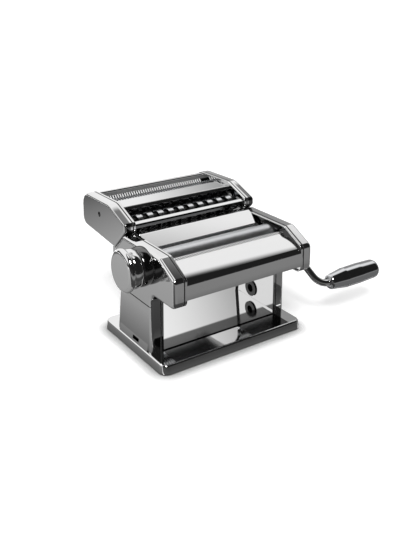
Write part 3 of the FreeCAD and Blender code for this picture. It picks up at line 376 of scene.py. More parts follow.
# The same plate on the cutter's side covers, with the seam's painted shade; their front slopes
# get a painted reflection of the dark room.
CUTTER_COVER = replace(CHROME, name="chromium_plate_of_cutter_covers", marks=(
    painted_seam_shade(COVER_RIM),
    painted_mirror_shade("#767676", Border("|X|", 82.0, 84.0), Border("|X|", 90.6, 89.6),
               Border("Y", 54.0, 44.0), roughness=0.08)))
# The same plate on the floor strip, whose front gets painted shade for the dark below
# the rollers.
FLOOR = replace(CHROME, name="chromium_plate_of_floor", marks=(
    painted_mirror_shade("#5A5A5A", Border("Y", -16.0, -20.0)),))
# The same plate on the base tray: what lies between the legs and the front edge gets a painted
# reflection of the rollers' dark side, to the left and right of a bright middle.
BASE = replace(CHROME, name="chromium_plate_of_base", marks=(
    painted_mirror_shade("#5A5A5A", *TRAY_FRONT, Border("X", -78.5, -78.0), Border("X", -18.0, -26.0)),
    painted_mirror_shade("#5A5A5A", *TRAY_FRONT, Border("X", 20.0, 26.0), Border("X", 78.5, 78.0))))
# The same plate on the cutter's rear cover, whose inner panel is left dull and dark.
PANEL = replace(CHROME, name="chromium_plate_with_dull_panel", marks=(
    Mark("#8C8C8C", metallic=0.0, roughness=0.6, borders=(PANEL_FACE, Border("Z", 149.2, 148.4))),
    Mark("#050505", metallic=1.0, roughness=0.6, borders=(PANEL_FACE, Border("Z", 143.2, 142.6)))))
# The same plate on the cutter's middle cover, whose hanging front edge gets near-black painted
# shade for the slot's dark.
MIDDLE = replace(CHROME, name="chromium_plate_of_middle_cover", marks=(
    Mark("#141414", metallic=0.0, roughness=0.5,
         borders=(Border("Y", 51.4, 50.6), Border("Z", 148.4, 147.8))),))
# The same plate on the cutter's front lip, with a painted reflection in grey where it looks down
# on the feed plate.
LIP = replace(CHROME, name="chromium_plate_of_front_lip", marks=(
    painted_mirror_shade("#6E6E6E", Border("Y", 22.4, 21.9)),))
# A dark mirror with a bright rim, on the clamp's grommet and the cutter's eyelets. The eyelets
# line the holes in the cutter's covers, and their dark tone is painted shade of the holes.
GROMMET = Finish("dark_grommet_and_eyelet_shade", Slot.PLASTIC, "#4A4A4A", metallic=1.0,
                 roughness=(0.08, 0.14), grain_mm=2.0, relief_mm=0.6, relief_depth_mm=0.004)
# Satin chromium on the index collar: a soft grey sheen without a clear image.
SATIN = Finish("satin_chromium_plate", Slot.SATIN, "#CACACA", metallic=1.0,
               roughness=(0.27, 0.34), grain_mm=1.2, relief_mm=0.9, relief_depth_mm=0.004)
# Anodised aluminium, turned: light runs along the roller in soft bands. The rings are drawn at
# three times their pitch, so that they show.
ROLLER = TurnedFinish("turned_anodised_aluminium", Slot.ROLLER, "#DCDDDF", metallic=1.0,
                      roughness=(0.28, 0.36), grain_mm=4.0, relief_mm=0.9, relief_depth_mm=0.003)
# The same aluminium on the wide cutting discs: bright rims, and flanks and grooves darkened as
# painted shade between the discs.
DISCS = replace(ROLLER, name="turned_aluminium_discs", roughness=(0.16, 0.24), marks=(
    Mark("#262626", metallic=1.0, roughness=0.35, borders=(Border("R", 10.55, 10.2),),
         centre=(39.5, 129.5)),))
# Zinc-plated free-cutting steel: dull bright metal with a slightly cloudy plate.
GEAR = Finish("zinc_plated_steel", Slot.GEAR, "#B9BABD", metallic=1.0, roughness=(0.25, 0.4),
              grain_mm=2.0, relief_mm=0.7, relief_depth_mm=0.006, shade=0.15)
# The wide rear roller, which lies in the cutter's shade, drawn in dark metal as painted shade:
# little light comes back from it.
SHADED_ROLLER = Finish("roller_painted_shade", Slot.ROLLER, "#4A4B4D", metallic=1.0, roughness=(0.3, 0.4),
                    grain_mm=3.0, relief_mm=0.8, relief_depth_mm=0.004, shade=0.2)
# Grey nylon, moulded: a soft sheen without a clear image.
NYLON = Finish("moulded_nylon", Slot.NYLON, "#8F8F8F", metallic=0.0, roughness=(0.35, 0.5),
               grain_mm=3.0, relief_mm=0.5, relief_depth_mm=0.004, shade=0.08)
# Black moulded plastic: fine spark-eroded texture with a broad, weak shine.
PLASTIC = Finish("black_moulded_plastic", Slot.PLASTIC, "#1B1B1C", metallic=0.0,
                 roughness=(0.38, 0.5), grain_mm=2.0, relief_mm=0.4, relief_depth_mm=0.01,
                 shade=0.2)
# Blasted aluminium teeth: pale and without a clear image.
TEETH = Finish("blasted_aluminium", Slot.ROLLER, "#F6F6F6", metallic=0.0, roughness=(0.4, 0.5),
              grain_mm=1.0, relief_mm=0.4, relief_depth_mm=0.002)
# Collar band in the knob's shade, drawn as a dark mirror: painted shade, so that it gives only a
# dim image of the room.
COLLAR = Finish("collar_painted_shade", Slot.CHROME, "#707070", metallic=1.0, roughness=(0.10, 0.14),
                grain_mm=2.0, relief_mm=0.1, relief_depth_mm=0.001)
# Embossed ribs on the front cover's lip, drawn duller and darker than the chrome round them:
# painted shade, which makes fine hatching of the light strip.
RIB = Finish("embossed_ribs", Slot.CHROME, "#767676", metallic=0.2, roughness=(0.4, 0.5),
             grain_mm=1.0, relief_mm=0.4, relief_depth_mm=0.002)
# Painted shade inside a small hole: the rivet in it is drawn black, as if no light came back.
HOLE_SHADE = Finish("painted_rivet_hole_shade", Slot.GEAR, "#040404", metallic=0.0, roughness=(0.85, 0.95),
              grain_mm=2.0, relief_mm=0.5, relief_depth_mm=0.001)
# Rubber: matt, nearly black, a little dusty.
RUBBER = Finish("black_rubber", Slot.RUBBER, "#161616", metallic=0.0, roughness=(0.7, 0.85),
                grain_mm=3.0, relief_mm=0.6, relief_depth_mm=0.02, shade=0.3)
# Chromium plate on moulded plastic: a softer mirror than the sheet metal.
HANDLE = Finish("chromium_plated_handle", Slot.HANDLE, "#D9DADC", metallic=1.0,
                roughness=(0.06, 0.1), grain_mm=6.0, relief_mm=20.0, relief_depth_mm=0.01)


class Wardrobe:
    """The built materials, one for each finish."""

    def __init__(self) -> None:
        """Starts with no material."""
        self.made: dict[str, bpy.types.Material] = {}

    def material(self, finish: Finish) -> bpy.types.Material:
        """Gives a finish's material, and builds it at its first use.

        Args:
            finish: the surface finish.

        Returns:
            The material.
        """
        if finish.name not in self.made:
            self.made[finish.name] = finish.material()
        return self.made[finish.name]

    def dress(self, nodes: dict[str, Finish]) -> None:
        """Gives CAD nodes their finish.

        Args:
            nodes: finishes by node name.
        """
        for name, finish in nodes.items():
            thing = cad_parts[name]
            for slot in thing.material_slots:
                slot.material = self.material(finish)
            log.info("dressed %s in %s", name, finish.name)


def spread(finish: Finish, names: str) -> dict[str, Finish]:
    """Pairs one finish with several node names, which have spaces between them."""
    return {name: finish for name in names.split()}


def soften(shape: bmesh.types.BMesh, limit: float = 35.0) -> None:
    """Shades a mesh smooth, but keeps its sharp edges.

    Args:
        shape: the mesh.
        limit: angle in degrees from which an edge stays sharp.
    """
    for face in shape.faces:
        face.smooth = True
    for edge in shape.edges:
        edge.smooth = edge.calc_face_angle(0.0) < math.radians(limit)


def hang(shape: bmesh.types.BMesh, name: str, body: str, material: bpy.types.Material,
         stands_for: str = "") -> bpy.types.Object:
    """Turns a mesh into an object that rides on one body of the frame.

    Args:
        shape: the finished mesh, which is freed.
        name: the object's name.
        body: the body that carries it.
        material: its material.
        stands_for: a CAD node that it takes the place of, if any.

    Returns:
        The object.
    """
    mesh = bpy.data.meshes.new(name)
    shape.to_mesh(mesh)
    shape.free()
    mesh.materials.append(material)
    thing = bpy.data.objects.new(name, mesh)
    bpy.context.scene.collection.objects.link(thing)
    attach(thing, body)
    if stands_for:
        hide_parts(stands_for)
    log.info("built %s on %s", name, body)
    return thing


@dataclass(frozen=True)
class Piece:
    """A piece of the scene's own that rides on one body, with its sizes in millimetres."""

    name: str
    body: str
    finish: Finish
    stands_for: str = field(default="", kw_only=True)

    def model(self) -> bmesh.types.BMesh:
        """Models the piece in its place; each kind of piece has its own way."""
        raise NotImplementedError

    def build(self, wardrobe: Wardrobe) -> bpy.types.Object:
        """Models the piece, dresses it and hangs it on its body.

        Args:
            wardrobe: the built materials.

        Returns:
            The finished object.
        """
        shape = self.model()
        soften(shape)
        return hang(shape, self.name, self.body, wardrobe.material(self.finish),
                    self.stands_for)


@dataclass(frozen=True)
class Lobes:
    """Soft hollows round a turned piece, in millimetres.

    They lie in a span of X, and only where the surface stands out from the floor radius.
    """

    count: int
    depth: float
    span: Point
    floor: float

    def press(self, shape: bmesh.types.BMesh) -> None:
        """Presses the hollows into a spun surface.

        Args:
            shape: the spun mesh, still on the X axis.
        """
        low, high = (place * MM for place in self.span)
        for vert in shape.verts:
            radius = math.hypot(vert.co.y, vert.co.z)
            if low <= vert.co.x <= high and radius > self.floor * MM:
                turn = math.atan2(vert.co.z, vert.co.y)
                sunk = self.depth * MM * (0.5 - 0.5 * math.cos(self.count * turn)) ** 2
                vert.co.yz = vert.co.yz * (1 - sunk / radius)


@dataclass(frozen=True)
class TurnedPiece(Piece):
    """A piece spun round an axis along X from a profile of X and radius."""

    centre: Point
    profile: tuple[Point, ...]
    lobes: Lobes | None = None
    steps: int = 160
    merge: float = 0.002

    def model(self) -> bmesh.types.BMesh:
        """Spins the profile.

        Returns:
            The mesh, in its place.
        """
        shape = bmesh.new()
        points = [shape.verts.new((x * MM, 0.0, radius * MM)) for x, radius in self.profile]
        runs = [shape.edges.new(pair) for pair in zip(points, points[1:])]
        bmesh.ops.spin(shape, geom=points + runs, cent=(0.0, 0.0, 0.0), axis=(1.0, 0.0, 0.0),
                       angle=math.tau, steps=self.steps, use_merge=True)
        bmesh.ops.remove_doubles(shape, verts=shape.verts, dist=self.merge * MM)
        if self.lobes:
            self.lobes.press(shape)
        bmesh.ops.recalc_face_normals(shape, faces=shape.faces)
        bmesh.ops.translate(shape, verts=shape.verts,
                            vec=(0.0, self.centre[0] * MM, self.centre[1] * MM))
        return shape


def barrel(start: float, end: float, edge: float, belly: float, count: int = 14,
           fullness: float = 0.8) -> tuple[Point, ...]:
    """Profile of a ring with a round belly.

    Args:
        start: X where it starts, in millimetres.
        end: X where it ends.
        edge: radius at both ends.
        belly: radius in the middle.
        count: number of steps.
        fullness: power of the belly's curve, fuller below 1.

    Returns:
        Points of X and radius.
    """
    places = [step / count for step in range(count + 1)]
    return tuple((start + (end - start) * (0.5 - 0.5 * math.cos(math.pi * at)),
                  edge + (belly - edge) * math.sin(math.pi * at) ** fullness) for at in places)


@dataclass(frozen=True)
class BentSheet(Piece):
    """A sheet bent along a path in Y and Z and run from one side to the other.

    Each run of the path is a length and the degrees it turns to the left over that length.
    """

    start: Point
    heading: float
    runs: tuple[Point, ...]
    half: float
    wall: float
    step_degrees: float = 2.5

    def path(self) -> list[Point]:
        """Walks the path in short steps.

        Returns:
            Points of Y and Z.
        """
        y, z = self.start
        heading = math.radians(self.heading)
        points = [(y, z)]
        for length, turn in self.runs:
            count = max(1, round(abs(turn) / self.step_degrees))
            for _ in range(count):
                heading += math.radians(turn) / count / 2
                y += length / count * math.cos(heading)
                z += length / count * math.sin(heading)
                heading += math.radians(turn) / count / 2
                points.append((y, z))
        return points

    def model(self) -> bmesh.types.BMesh:
        """Bends the sheet.

        Returns:
            The mesh, in its place.
        """
        shape = bmesh.new()
        points = [shape.verts.new((-self.half * MM, y * MM, z * MM)) for y, z in self.path()]
        runs = [shape.edges.new(pair) for pair in zip(points, points[1:])]
        drawn = bmesh.ops.extrude_edge_only(shape, edges=runs)["geom"]
        far_side = [part for part in drawn if isinstance(part, bmesh.types.BMVert)]
        bmesh.ops.translate(shape, verts=far_side, vec=(2 * self.half * MM, 0.0, 0.0))
        bmesh.ops.solidify(shape, geom=shape.faces[:], thickness=self.wall * MM)
        bmesh.ops.recalc_face_normals(shape, faces=shape.faces)
        return shape


@dataclass(frozen=True)
class BarRow(Piece):
    """A row of like bars along X, with the middle of the row as Y and Z.

    Lean turns each bar about X, skew turns it within the row, both in degrees.
    """

    count: int
    pitch: float
    size: tuple[float, float, float]
    middle: Point
    lean: float
    skew: float
    edge: float

    def model(self) -> bmesh.types.BMesh:
        """Sets out the bars and rounds their edges.

        Returns:
            The mesh, in its place.
        """
        shape = bmesh.new()
        turn = (Matrix.Rotation(math.radians(self.lean), 4, "X")
                @ Matrix.Rotation(math.radians(self.skew), 4, "Z"))
        sides = Matrix.Diagonal((*(side * MM for side in self.size), 1.0))
        for step in range(self.count):
            x = (step - (self.count - 1) / 2) * self.pitch
            spot = Matrix.Translation((x * MM, self.middle[0] * MM, self.middle[1] * MM))
            bmesh.ops.create_cube(shape, size=1.0, matrix=spot @ turn @ sides)
        bmesh.ops.bevel(shape, geom=shape.edges[:], offset=self.edge * MM, segments=2, profile=0.5,
                        affect="EDGES", material=-1)
        return shape


@dataclass
class Assembly:
    """A sub-assembly: the finishes of its CAD nodes, and the pieces that the scene adds to it."""

    nodes: dict[str, Finish] = field(default_factory=dict)

    def pieces(self) -> tuple[Piece, ...]:
        """Lists the scene's own pieces, of which there are none unless a sub-assembly has some."""
        return ()

    def build(self, wardrobe: Wardrobe) -> None:
        """Dresses the CAD nodes and builds the scene's own pieces.

        Args:
            wardrobe: the built materials.
        """
        wardrobe.dress(self.nodes)
        for piece in self.pieces():
            piece.build(wardrobe)


@dataclass
class Stand(Assembly):
    """Base, side plates, covers and the fixed pieces of the rolling head."""

    nodes: dict[str, Finish] = field(default_factory=lambda: {
        **spread(CHROME, "front_cover rear_cover feed_plate cutter_sockets"),
        **spread(BASE, "base_plate"),
        **spread(FLOOR, "floor_plate"),
        **spread(GROMMET, "clamp_grommet"),
        **spread(SEAM, "left_side_plate right_side_plate"),
        **spread(COVER, "left_side_cover right_side_cover"),
        **spread(SATIN, "index_collar"),
        **spread(GEAR, "tie_rods"),
        **spread(NYLON, "rear_roller_bushes shaft_bushes crank_ferrule"),
        **spread(PLASTIC, "front_scraper rear_scraper cheek_bars"),
        **spread(RUBBER, "rubber_feet"),
    })
    # The band's outer and inner end along X, its inner radius, and its radius at the edges and
    # at the belly.
    band_ends: Point = (-103.7, -92.7)
    band_bore: float = 19.9
    band_edge: float = 20.05
    band_belly: float = 21.4
    # From the feed mouth: the rolled lip, the top's slope, its slow bend, the soft front bend and
    # the upright front.
    front_sheet: BentSheet = BentSheet(
        "front_sheet", "stand", CHROME, start=(-45.02, 114.73), heading=90.0,
        runs=((6.493, 106.3), (11.364, 0.0), (20.0, 12.5), (6.5, 61.2), (14.683, 0.0)),
        half=78.98, wall=1.0, stands_for="front_cover")
    lip_ribs: BarRow = BarRow(
        "lip_ribs", "stand", RIB, count=51, pitch=3.0, size=(1.4, 3.8, 0.3),
        middle=(-51.1, 118.71), lean=16.3, skew=23.0, edge=0.08)

    def collar_band(self) -> TurnedPiece:
        """Gives the rounded band on the index collar.

        Returns:
            The piece.
        """
        outer, inner = self.band_ends
        profile = ((outer, self.band_bore),
                   *barrel(outer, inner, self.band_edge, self.band_belly),
                   (inner, self.band_bore), (outer, self.band_bore))
        return TurnedPiece("collar_band", "stand", COLLAR, KNOB_AXIS, profile)

    def pieces(self) -> tuple[Piece, ...]:
        """Lists the collar's band, the front sheet and the ribs on its lip."""
        return (self.collar_band(), self.front_sheet, self.lip_ribs)


@dataclass(frozen=True)
class Knob:
    """Thickness knob in millimetres: places along X, which fall from back to face, and radii.

    From its back it is a lobed ring, a groove and a rim, whose round shoulder goes on in the face
    that is set into it.
    """

    back: float = -104.6
    bore_radius: float = 4.1
    bore_end: float = -117.6
    ring_foot: float = 19.0
    ring_edge: float = 19.4
    ring_belly: float = 21.8
    ring_lobes: Lobes = Lobes(count=8, depth=0.5, span=(-114.8, -104.7), floor=19.3)
    groove: Point = (-114.9, -115.6)
    groove_radius: float = 18.8
    rim: tuple[Point, ...] = ((-115.6, 22.4), (-116.0, 23.1), (-116.6, 23.5))
    seat: float = -119.6
    seat_radius: float = 20.4
    # The shoulder is a quarter of an ellipse: its centre and half axes, as X and radius, and the
    # degrees from the face at which the rim ends and the face starts.
    shoulder_centre: Point = (-117.5, 17.6)
    shoulder_axes: Point = (4.9, 6.0)
    rim_angle: float = 27.6
    face_angle: float = 27.2
    face_back: float = -119.62
    face_radius: float = 20.34

    def shoulder(self, first: float, last: float, count: int) -> tuple[Point, ...]:
        """Part of the round shoulder between the flat face and the rim.

        Args:
            first: angle of the first point in degrees, 0 at the face and 90 at the rim.
            last: angle of the last point.
            count: number of steps.

        Returns:
            Points of X and radius.
        """
        (x, radius), (deep, wide) = self.shoulder_centre, self.shoulder_axes
        turns = [math.radians(first + (last - first) * step / count) for step in range(count + 1)]
        return tuple((x - deep * math.cos(turn), radius + wide * math.sin(turn)) for turn in turns)

    def grip(self) -> TurnedPiece:
        """Gives the ring with soft lobes and the rim.

        Returns:
            The piece.
        """
        near, far = self.groove
        profile = (
            (self.back, self.bore_radius), (self.back, self.ring_foot),
            *barrel(self.back, near, self.ring_edge, self.ring_belly),
            (near, self.groove_radius), (far, self.groove_radius), *self.rim,
            *self.shoulder(first=90.0, last=self.rim_angle, count=12),
            (self.seat, self.seat_radius), (self.seat, 0.0),
            (self.bore_end, 0.0), (self.bore_end, self.bore_radius), (self.back, self.bore_radius))
        return TurnedPiece("knob_with_soft_lobes", "thickness_knob", CHROME, KNOB_AXIS, profile,
                           self.ring_lobes, stands_for="thickness_knob")

    def face(self) -> TurnedPiece:
        """Gives the face.

        Returns:
            The piece.
        """
        front = self.shoulder_centre[0] - self.shoulder_axes[0]
        profile = ((self.face_back, 0.0), (self.face_back, self.face_radius),
                   *self.shoulder(first=self.face_angle, last=0.0, count=6), (front, 0.0))
        return TurnedPiece("knob_face", "thickness_knob", CHROME, KNOB_AXIS, profile,
                           stands_for="knob_cap")


@dataclass
class Rolling(Assembly):
    """Rollers, their gears, the eccentric and the knob that sets the thickness."""

    nodes: dict[str, Finish] = field(default_factory=lambda: {
        **spread(ROLLER, "rear_roller front_roller"),
        **spread(GEAR, "rear_gear front_gear eccentric_shaft"),
        **spread(CHROME, "thickness_knob"),
        **spread(SATIN, "knob_cap"),
        **spread(NYLON, "front_roller_sleeves"),
    })
    knob: Knob = Knob()

    def pieces(self) -> tuple[Piece, ...]:
        """Lists the knob's grip and face."""
        return (self.knob.grip(), self.knob.face())


@dataclass
class Crank(Assembly):
    """Bent crank and its turning handle."""

    nodes: dict[str, Finish] = field(default_factory=lambda: {
        **spread(CHROME, "crank_rod"),
        **spread(HANDLE, "crank_grip"),
    })


@dataclass
class Cutter(Assembly):
    """Lift-off cutting unit with a wide and a fine pair of rollers."""

    nodes: dict[str, Finish] = field(default_factory=lambda: {
        **spread(CHROME, "cutter_tongues"),
        **spread(LIP, "cutter_front_lip"),
        **spread(MIDDLE, "cutter_middle_cover"),
        **spread(CUTTER_SEAM, "cutter_left_plate cutter_right_plate"),
        **spread(CUTTER_COVER, "cutter_left_cover cutter_right_cover"),
        **spread(PANEL, "cutter_rear_cover"),
        **spread(GEAR, "cutter_tie_rods wide_front_gear wide_rear_gear"),
        **spread(GEAR, "fine_front_gear fine_rear_gear"),
        **spread(NYLON, "cutter_bushes"),
        **spread(PLASTIC, "wide_front_comb wide_rear_comb fine_front_comb fine_rear_comb"),
        # The rivets are drawn black: painted shade inside the holes in the covers.
        **spread(HOLE_SHADE, "cutter_cover_rivets"),
        **spread(DISCS, "wide_front_roller"),
        **spread(ROLLER, "fine_front_roller fine_rear_roller"),
        # The wide rear roller is drawn in dark metal: painted shade from the cutter over it.
        **spread(SHADED_ROLLER, "wide_rear_roller"),
    })
    guide_teeth: BarRow = BarRow(
        "fine_guide_teeth", "cutter", TEETH, count=44, pitch=3.3, size=(1.4, 5.0, 1.2),
        middle=(109.2, 141.6), lean=45.0, skew=0.0, edge=0.15)
    # Half of an eyelet's section in millimetres, as distance from the machine's middle and radius.
    eyelet_centre: Point = (82.0, 134.0)
    eyelet_section: tuple[Point, ...] = (
        (90.25, 3.06), (90.25, 2.75), (90.5, 2.78), (90.8, 2.88), (90.95, 3.02), (90.95, 3.06),
        (90.25, 3.06))

    def eyelet(self, name: str, side: int) -> TurnedPiece:
        """Gives one eyelet, whose dark ring lines a hole's wall as painted shade of the hole.

        Args:
            name: the piece's name.
            side: -1 on the left and 1 on the right.

        Returns:
            The piece.
        """
        profile = tuple((side * x, radius) for x, radius in self.eyelet_section)
        return TurnedPiece(name, "cutter", GROMMET, self.eyelet_centre, profile, steps=48)

    def pieces(self) -> tuple[Piece, ...]:
        """Lists the guide teeth and the two eyelets."""
        return (self.guide_teeth, self.eyelet("left_eyelet", -1), self.eyelet("right_eyelet", 1))


@dataclass(frozen=True)
class RoomPatch:
    """A dim part of the room that mirrors show, bounded along the axes of the ray's direction.

    The axis called slant is Y less a share of Z, so that the patch's border leans over the object.
    """

    dim: float
    borders: tuple[Border, ...]


@dataclass(frozen=True)
class FloorFlag:
    """A grey sheet on the floor beside the object that only mirrors show, in metres.

    Grades are places along one axis and the levels there, from the object outwards. A fade is the
    Y where it starts, the Y where it ends and the share of the light that is left there, which by
    default is all of it.
    """

    name: str
    low: Point
    high: Point
    axis: str
    grades: tuple[Point, ...]
    fade: tuple[float, float, float] = (8.0, 9.0, 1.0)
    height: float = 0.0004


@dataclass
class Studio:
    """White floor and sky, dim patches and flags that the chrome reflects, lamp and camera.

    Lengths are in metres and angles in degrees. A level of light of 1 is white.
    """

    floor_size: float = 30.0
    floor_albedo: float = 0.9
    floor_glow: float = 0.36
    contact_reach: float = 0.014
    contact_power: float = 2.4
    contact_samples: int = 8
    sky_light: float = 0.6
    sky_shown: float = 1.0
    backdrop: float = 1.0
    slant_share: float = 1.2
    sun_share: float = 0.46
    sun_angle: float = 17.0
    sun_way: tuple[float, float, float] = (0.37, 0.50, -0.78)
    eye: tuple[float, float, float] = (-0.45514, -0.65265, 0.41769)
    yaw: float = 33.837
    pitch: float = 11.243
    lens: float = 46.789
    shift: Point = (0.0353, -0.3)
    patches: tuple[RoomPatch, ...] = (
        RoomPatch(0.32, (Border("X", 0.45, 0.60), Border("Z", 0.62, 0.50))),
        RoomPatch(0.015, (Border("slant", -0.76, -0.95), Border("Z", 0.99, 0.94))),
        RoomPatch(0.015, (Border("Y", 0.02, -0.20), Border("Z", 0.99, 0.94))),
        RoomPatch(0.03, (Border("X", -0.20, -0.40), Border("Z", 0.34, 0.20))),
    )
    flags: tuple[FloorFlag, ...] = (
        FloorFlag("front_flag", low=(-14.0, -14.0), high=(14.0, -0.068), axis="Y",
                  grades=((-0.068, 0.10), (-0.10, 0.05), (-0.19, 0.07), (-0.25, 0.24),
                          (-0.38, 0.26), (-0.70, 0.04), (-1.50, 0.015))),
        FloorFlag("left_flag", low=(-1.6, -0.066), high=(-0.098, 1.6), axis="X",
                  grades=((-0.10, 0.14), (-0.15, 0.36), (-0.30, 0.44), (-0.60, 0.52)),
                  fade=(0.28, 0.55, 0.24)),
        FloorFlag("right_flag", low=(0.098, -0.066), high=(1.6, 1.6), axis="X",
                  grades=((0.10, 0.12), (0.16, 0.24), (0.30, 0.34), (0.60, 0.42))),
        FloorFlag("grip_flag", low=(0.15, -0.235), high=(0.60, -0.068), axis="Y",
                  grades=((-0.068, 0.17), (-0.235, 0.17)), height=0.0008),
    )

    def seen(self, tree: Tree) -> Socket:
        """Is 1 for rays that show the background: from the camera, off a mirror or through glass.

        Args:
            tree: the node tree of the world or floor.

        Returns:
            The socket that carries 0 or 1.
        """
        path = add_node(tree, "ShaderNodeLightPath")
        mirror = add_node(tree, "ShaderNodeMath", {"operation": "MAXIMUM"},
                          {0: path.outputs["Is Camera Ray"], 1: path.outputs["Is Glossy Ray"]})
        either = add_node(tree, "ShaderNodeMath", {"operation": "MAXIMUM"},
                          {0: mirror.outputs[0], 1: path.outputs["Is Transmission Ray"]})
        return either.outputs[0]

    def sky(self) -> None:
        """Makes the world: even light, white behind the object, and the dim patches in mirrors."""
        world = bpy.data.worlds.new("studio_room")
        bpy.context.scene.world = world
        world.use_nodes = True
        tree = world.node_tree
        tree.nodes.clear()
        ray = add_node(tree, "ShaderNodeTexCoord")
        parts = axes(tree, ray.outputs["Generated"])
        slant = add_node(tree, "ShaderNodeMath",
                         {"operation": "MULTIPLY_ADD", 1: -self.slant_share},
                         {0: parts["Z"], 2: parts["Y"]})
        parts["slant"] = slant.outputs[0]
        level = add_node(tree, "ShaderNodeValue").outputs[0]
        level.default_value = self.sky_shown
        for patch in self.patches:
            dimmed = add_node(tree, "ShaderNodeMix",
                              {"data_type": NUMBERS.kind, NUMBERS.second: patch.dim},
                              {MIX_FACTOR: inside(tree, parts, patch.borders),
                               NUMBERS.first: level})
            level = dimmed.outputs[NUMBERS.result]
        camera_ray = add_node(tree, "ShaderNodeLightPath").outputs["Is Camera Ray"]
        shown = add_node(tree, "ShaderNodeMix",
                         {"data_type": NUMBERS.kind, NUMBERS.second: self.backdrop},
                         {MIX_FACTOR: camera_ray, NUMBERS.first: level})
        strength = add_node(tree, "ShaderNodeMix",
                            {"data_type": NUMBERS.kind, NUMBERS.first: self.sky_light},
                            {MIX_FACTOR: self.seen(tree),
                             NUMBERS.second: shown.outputs[NUMBERS.result]})
        shader = add_node(tree, "ShaderNodeBackground", {"Color": WHITE},
                          {"Strength": strength.outputs[NUMBERS.result]})
        add_node(tree, "ShaderNodeOutputWorld", links={"Surface": shader.outputs["Background"]})

    def sheet(self, name: str, low: Point, high: Point, material: bpy.types.Material,
              level: float = 0.0) -> bpy.types.Object:
        """Lays a flat rectangle that is no part of the object.

        Args:
            name: the object's name.
            low: lowest x and y.
            high: highest x and y.
            material: its material.
            level: its height.

        Returns:
            The object.
        """
        mesh = bpy.data.meshes.new(name)
        shape = bmesh.new()
        bmesh.ops.create_grid(shape, x_segments=1, y_segments=1, size=0.5)
        middle = ((low[0] + high[0]) / 2, (low[1] + high[1]) / 2, level)
        sides = Matrix.Diagonal((high[0] - low[0], high[1] - low[1], 1.0, 1.0))
        bmesh.ops.transform(shape, matrix=Matrix.Translation(middle) @ sides, verts=shape.verts)
        shape.to_mesh(mesh)
        shape.free()
        mesh.materials.append(material)
        thing = bpy.data.objects.new(name, mesh)
        bpy.context.scene.collection.objects.link(thing)
        return thing

    def floor(self) -> None:
        """Lays the white floor, which keeps the object's shadow and darkens where it is close."""
        material, tree = new_tree("white_paper_sweep")
        near = add_node(tree, "ShaderNodeAmbientOcclusion",
                        {"Distance": self.contact_reach, "samples": self.contact_samples})
        open_share = add_node(tree, "ShaderNodeMath",
                              {"operation": "POWER", 1: self.contact_power},
                              {0: near.outputs["AO"]})
        tone = add_node(tree, "ShaderNodeMath", {"operation": "MULTIPLY", 1: self.floor_albedo},
                        {0: open_share.outputs[0]})
        paper = add_node(tree, "ShaderNodeBsdfDiffuse", links={"Color": tone.outputs[0]})
        glow_share = add_node(tree, "ShaderNodeMath",
                              {"operation": "MULTIPLY", 1: self.floor_glow},
                              {0: self.seen(tree)})
        lift = add_node(tree, "ShaderNodeMath", {"operation": "MULTIPLY"},
                        {0: glow_share.outputs[0], 1: open_share.outputs[0]})
        glow = add_node(tree, "ShaderNodeEmission", {"Color": WHITE},
                        {"Strength": lift.outputs[0]})
        both = add_node(tree, "ShaderNodeAddShader",
                        links={0: paper.outputs[0], 1: glow.outputs[0]})
        add_node(tree, "ShaderNodeOutputMaterial", links={"Surface": both.outputs[0]})
        half = self.floor_size / 2
        self.sheet("floor", (-half, -half), (half, half), material)

    def lay_flag(self, flag: FloorFlag) -> None:
        """Lays one flag, which shows in mirrors alone.

        Args:
            flag: its outline and its grades.
        """
        material, tree = new_tree(flag.name)
        parts = axes(tree, add_node(tree, "ShaderNodeTexCoord").outputs["Object"])
        level = add_node(tree, "ShaderNodeValue").outputs[0]
        level.default_value = flag.grades[0][1]
        for (start, _), (end, grade) in zip(flag.grades, flag.grades[1:]):
            ramp = add_node(tree, "ShaderNodeMapRange",
                            {"From Min": start, "From Max": end, "To Max": grade},
                            {"Value": parts[flag.axis], "To Min": level})
            level = ramp.outputs["Result"]
        start, end, left = flag.fade
        fade = add_node(tree, "ShaderNodeMapRange",
                        {"From Min": start, "From Max": end, "To Min": 1.0, "To Max": left},
                        {"Value": parts["Y"]})
        faded = add_node(tree, "ShaderNodeMath", {"operation": "MULTIPLY"},
                         {0: level, 1: fade.outputs["Result"]})
        glow = add_node(tree, "ShaderNodeEmission", {"Color": WHITE},
                        {"Strength": faded.outputs[0]})
        add_node(tree, "ShaderNodeOutputMaterial", links={"Surface": glow.outputs[0]})
        thing = self.sheet(flag.name, flag.low, flag.high, material, flag.height)
        thing.visible_camera = False
        thing.visible_diffuse = False
        thing.visible_transmission = False
        thing.visible_shadow = False

    def lamp(self) -> None:
        """Hangs one broad soft lamp above the front left."""
        light = bpy.data.lights.new("overhead_softbox", "SUN")
        light.energy = self.sun_share * math.pi
        light.angle = math.radians(self.sun_angle)
        thing = bpy.data.objects.new("overhead_softbox", light)
        thing.rotation_euler = Vector(self.sun_way).to_track_quat("-Z", "Y").to_euler()
        bpy.context.scene.collection.objects.link(thing)

    def camera(self) -> None:
        """Sets the camera at the photograph's place."""
        lens = bpy.data.cameras.new("camera")
        lens.lens = self.lens
        lens.shift_x, lens.shift_y = self.shift
        thing = bpy.data.objects.new("camera", lens)
        yaw, pitch = math.radians(self.yaw), math.radians(self.pitch)
        ahead = Vector((math.sin(yaw) * math.cos(pitch), math.cos(yaw) * math.cos(pitch),
                        -math.sin(pitch)))
        thing.location = self.eye
        thing.rotation_euler = ahead.to_track_quat("-Z", "Y").to_euler()
        bpy.context.scene.collection.objects.link(thing)
        bpy.context.scene.camera = thing

    def build(self) -> None:
        """Sets up the whole studio."""
        bpy.context.scene.view_settings.view_transform = "Standard"
        self.sky()
        self.floor()
        for flag in self.flags:
            self.lay_flag(flag)
        self.lamp()
        self.camera()


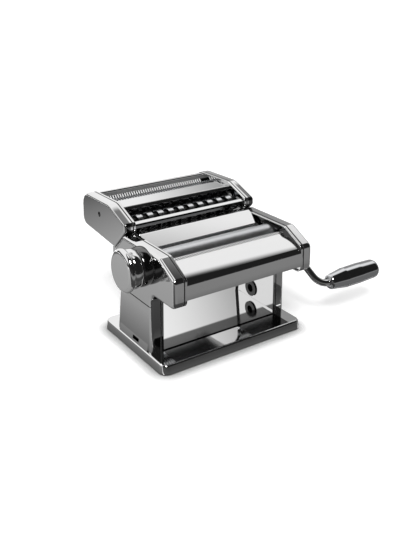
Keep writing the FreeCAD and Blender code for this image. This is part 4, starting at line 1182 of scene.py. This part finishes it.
def main() -> None:
    """Builds and dresses the machine and sets up the studio."""
    logging.basicConfig(level=logging.INFO)
    wardrobe = Wardrobe()
    for assembly in (Stand(), Rolling(), Crank(), Cutter()):
        assembly.build(wardrobe)
    Studio().build()


if __name__ == "__main__":
    main()
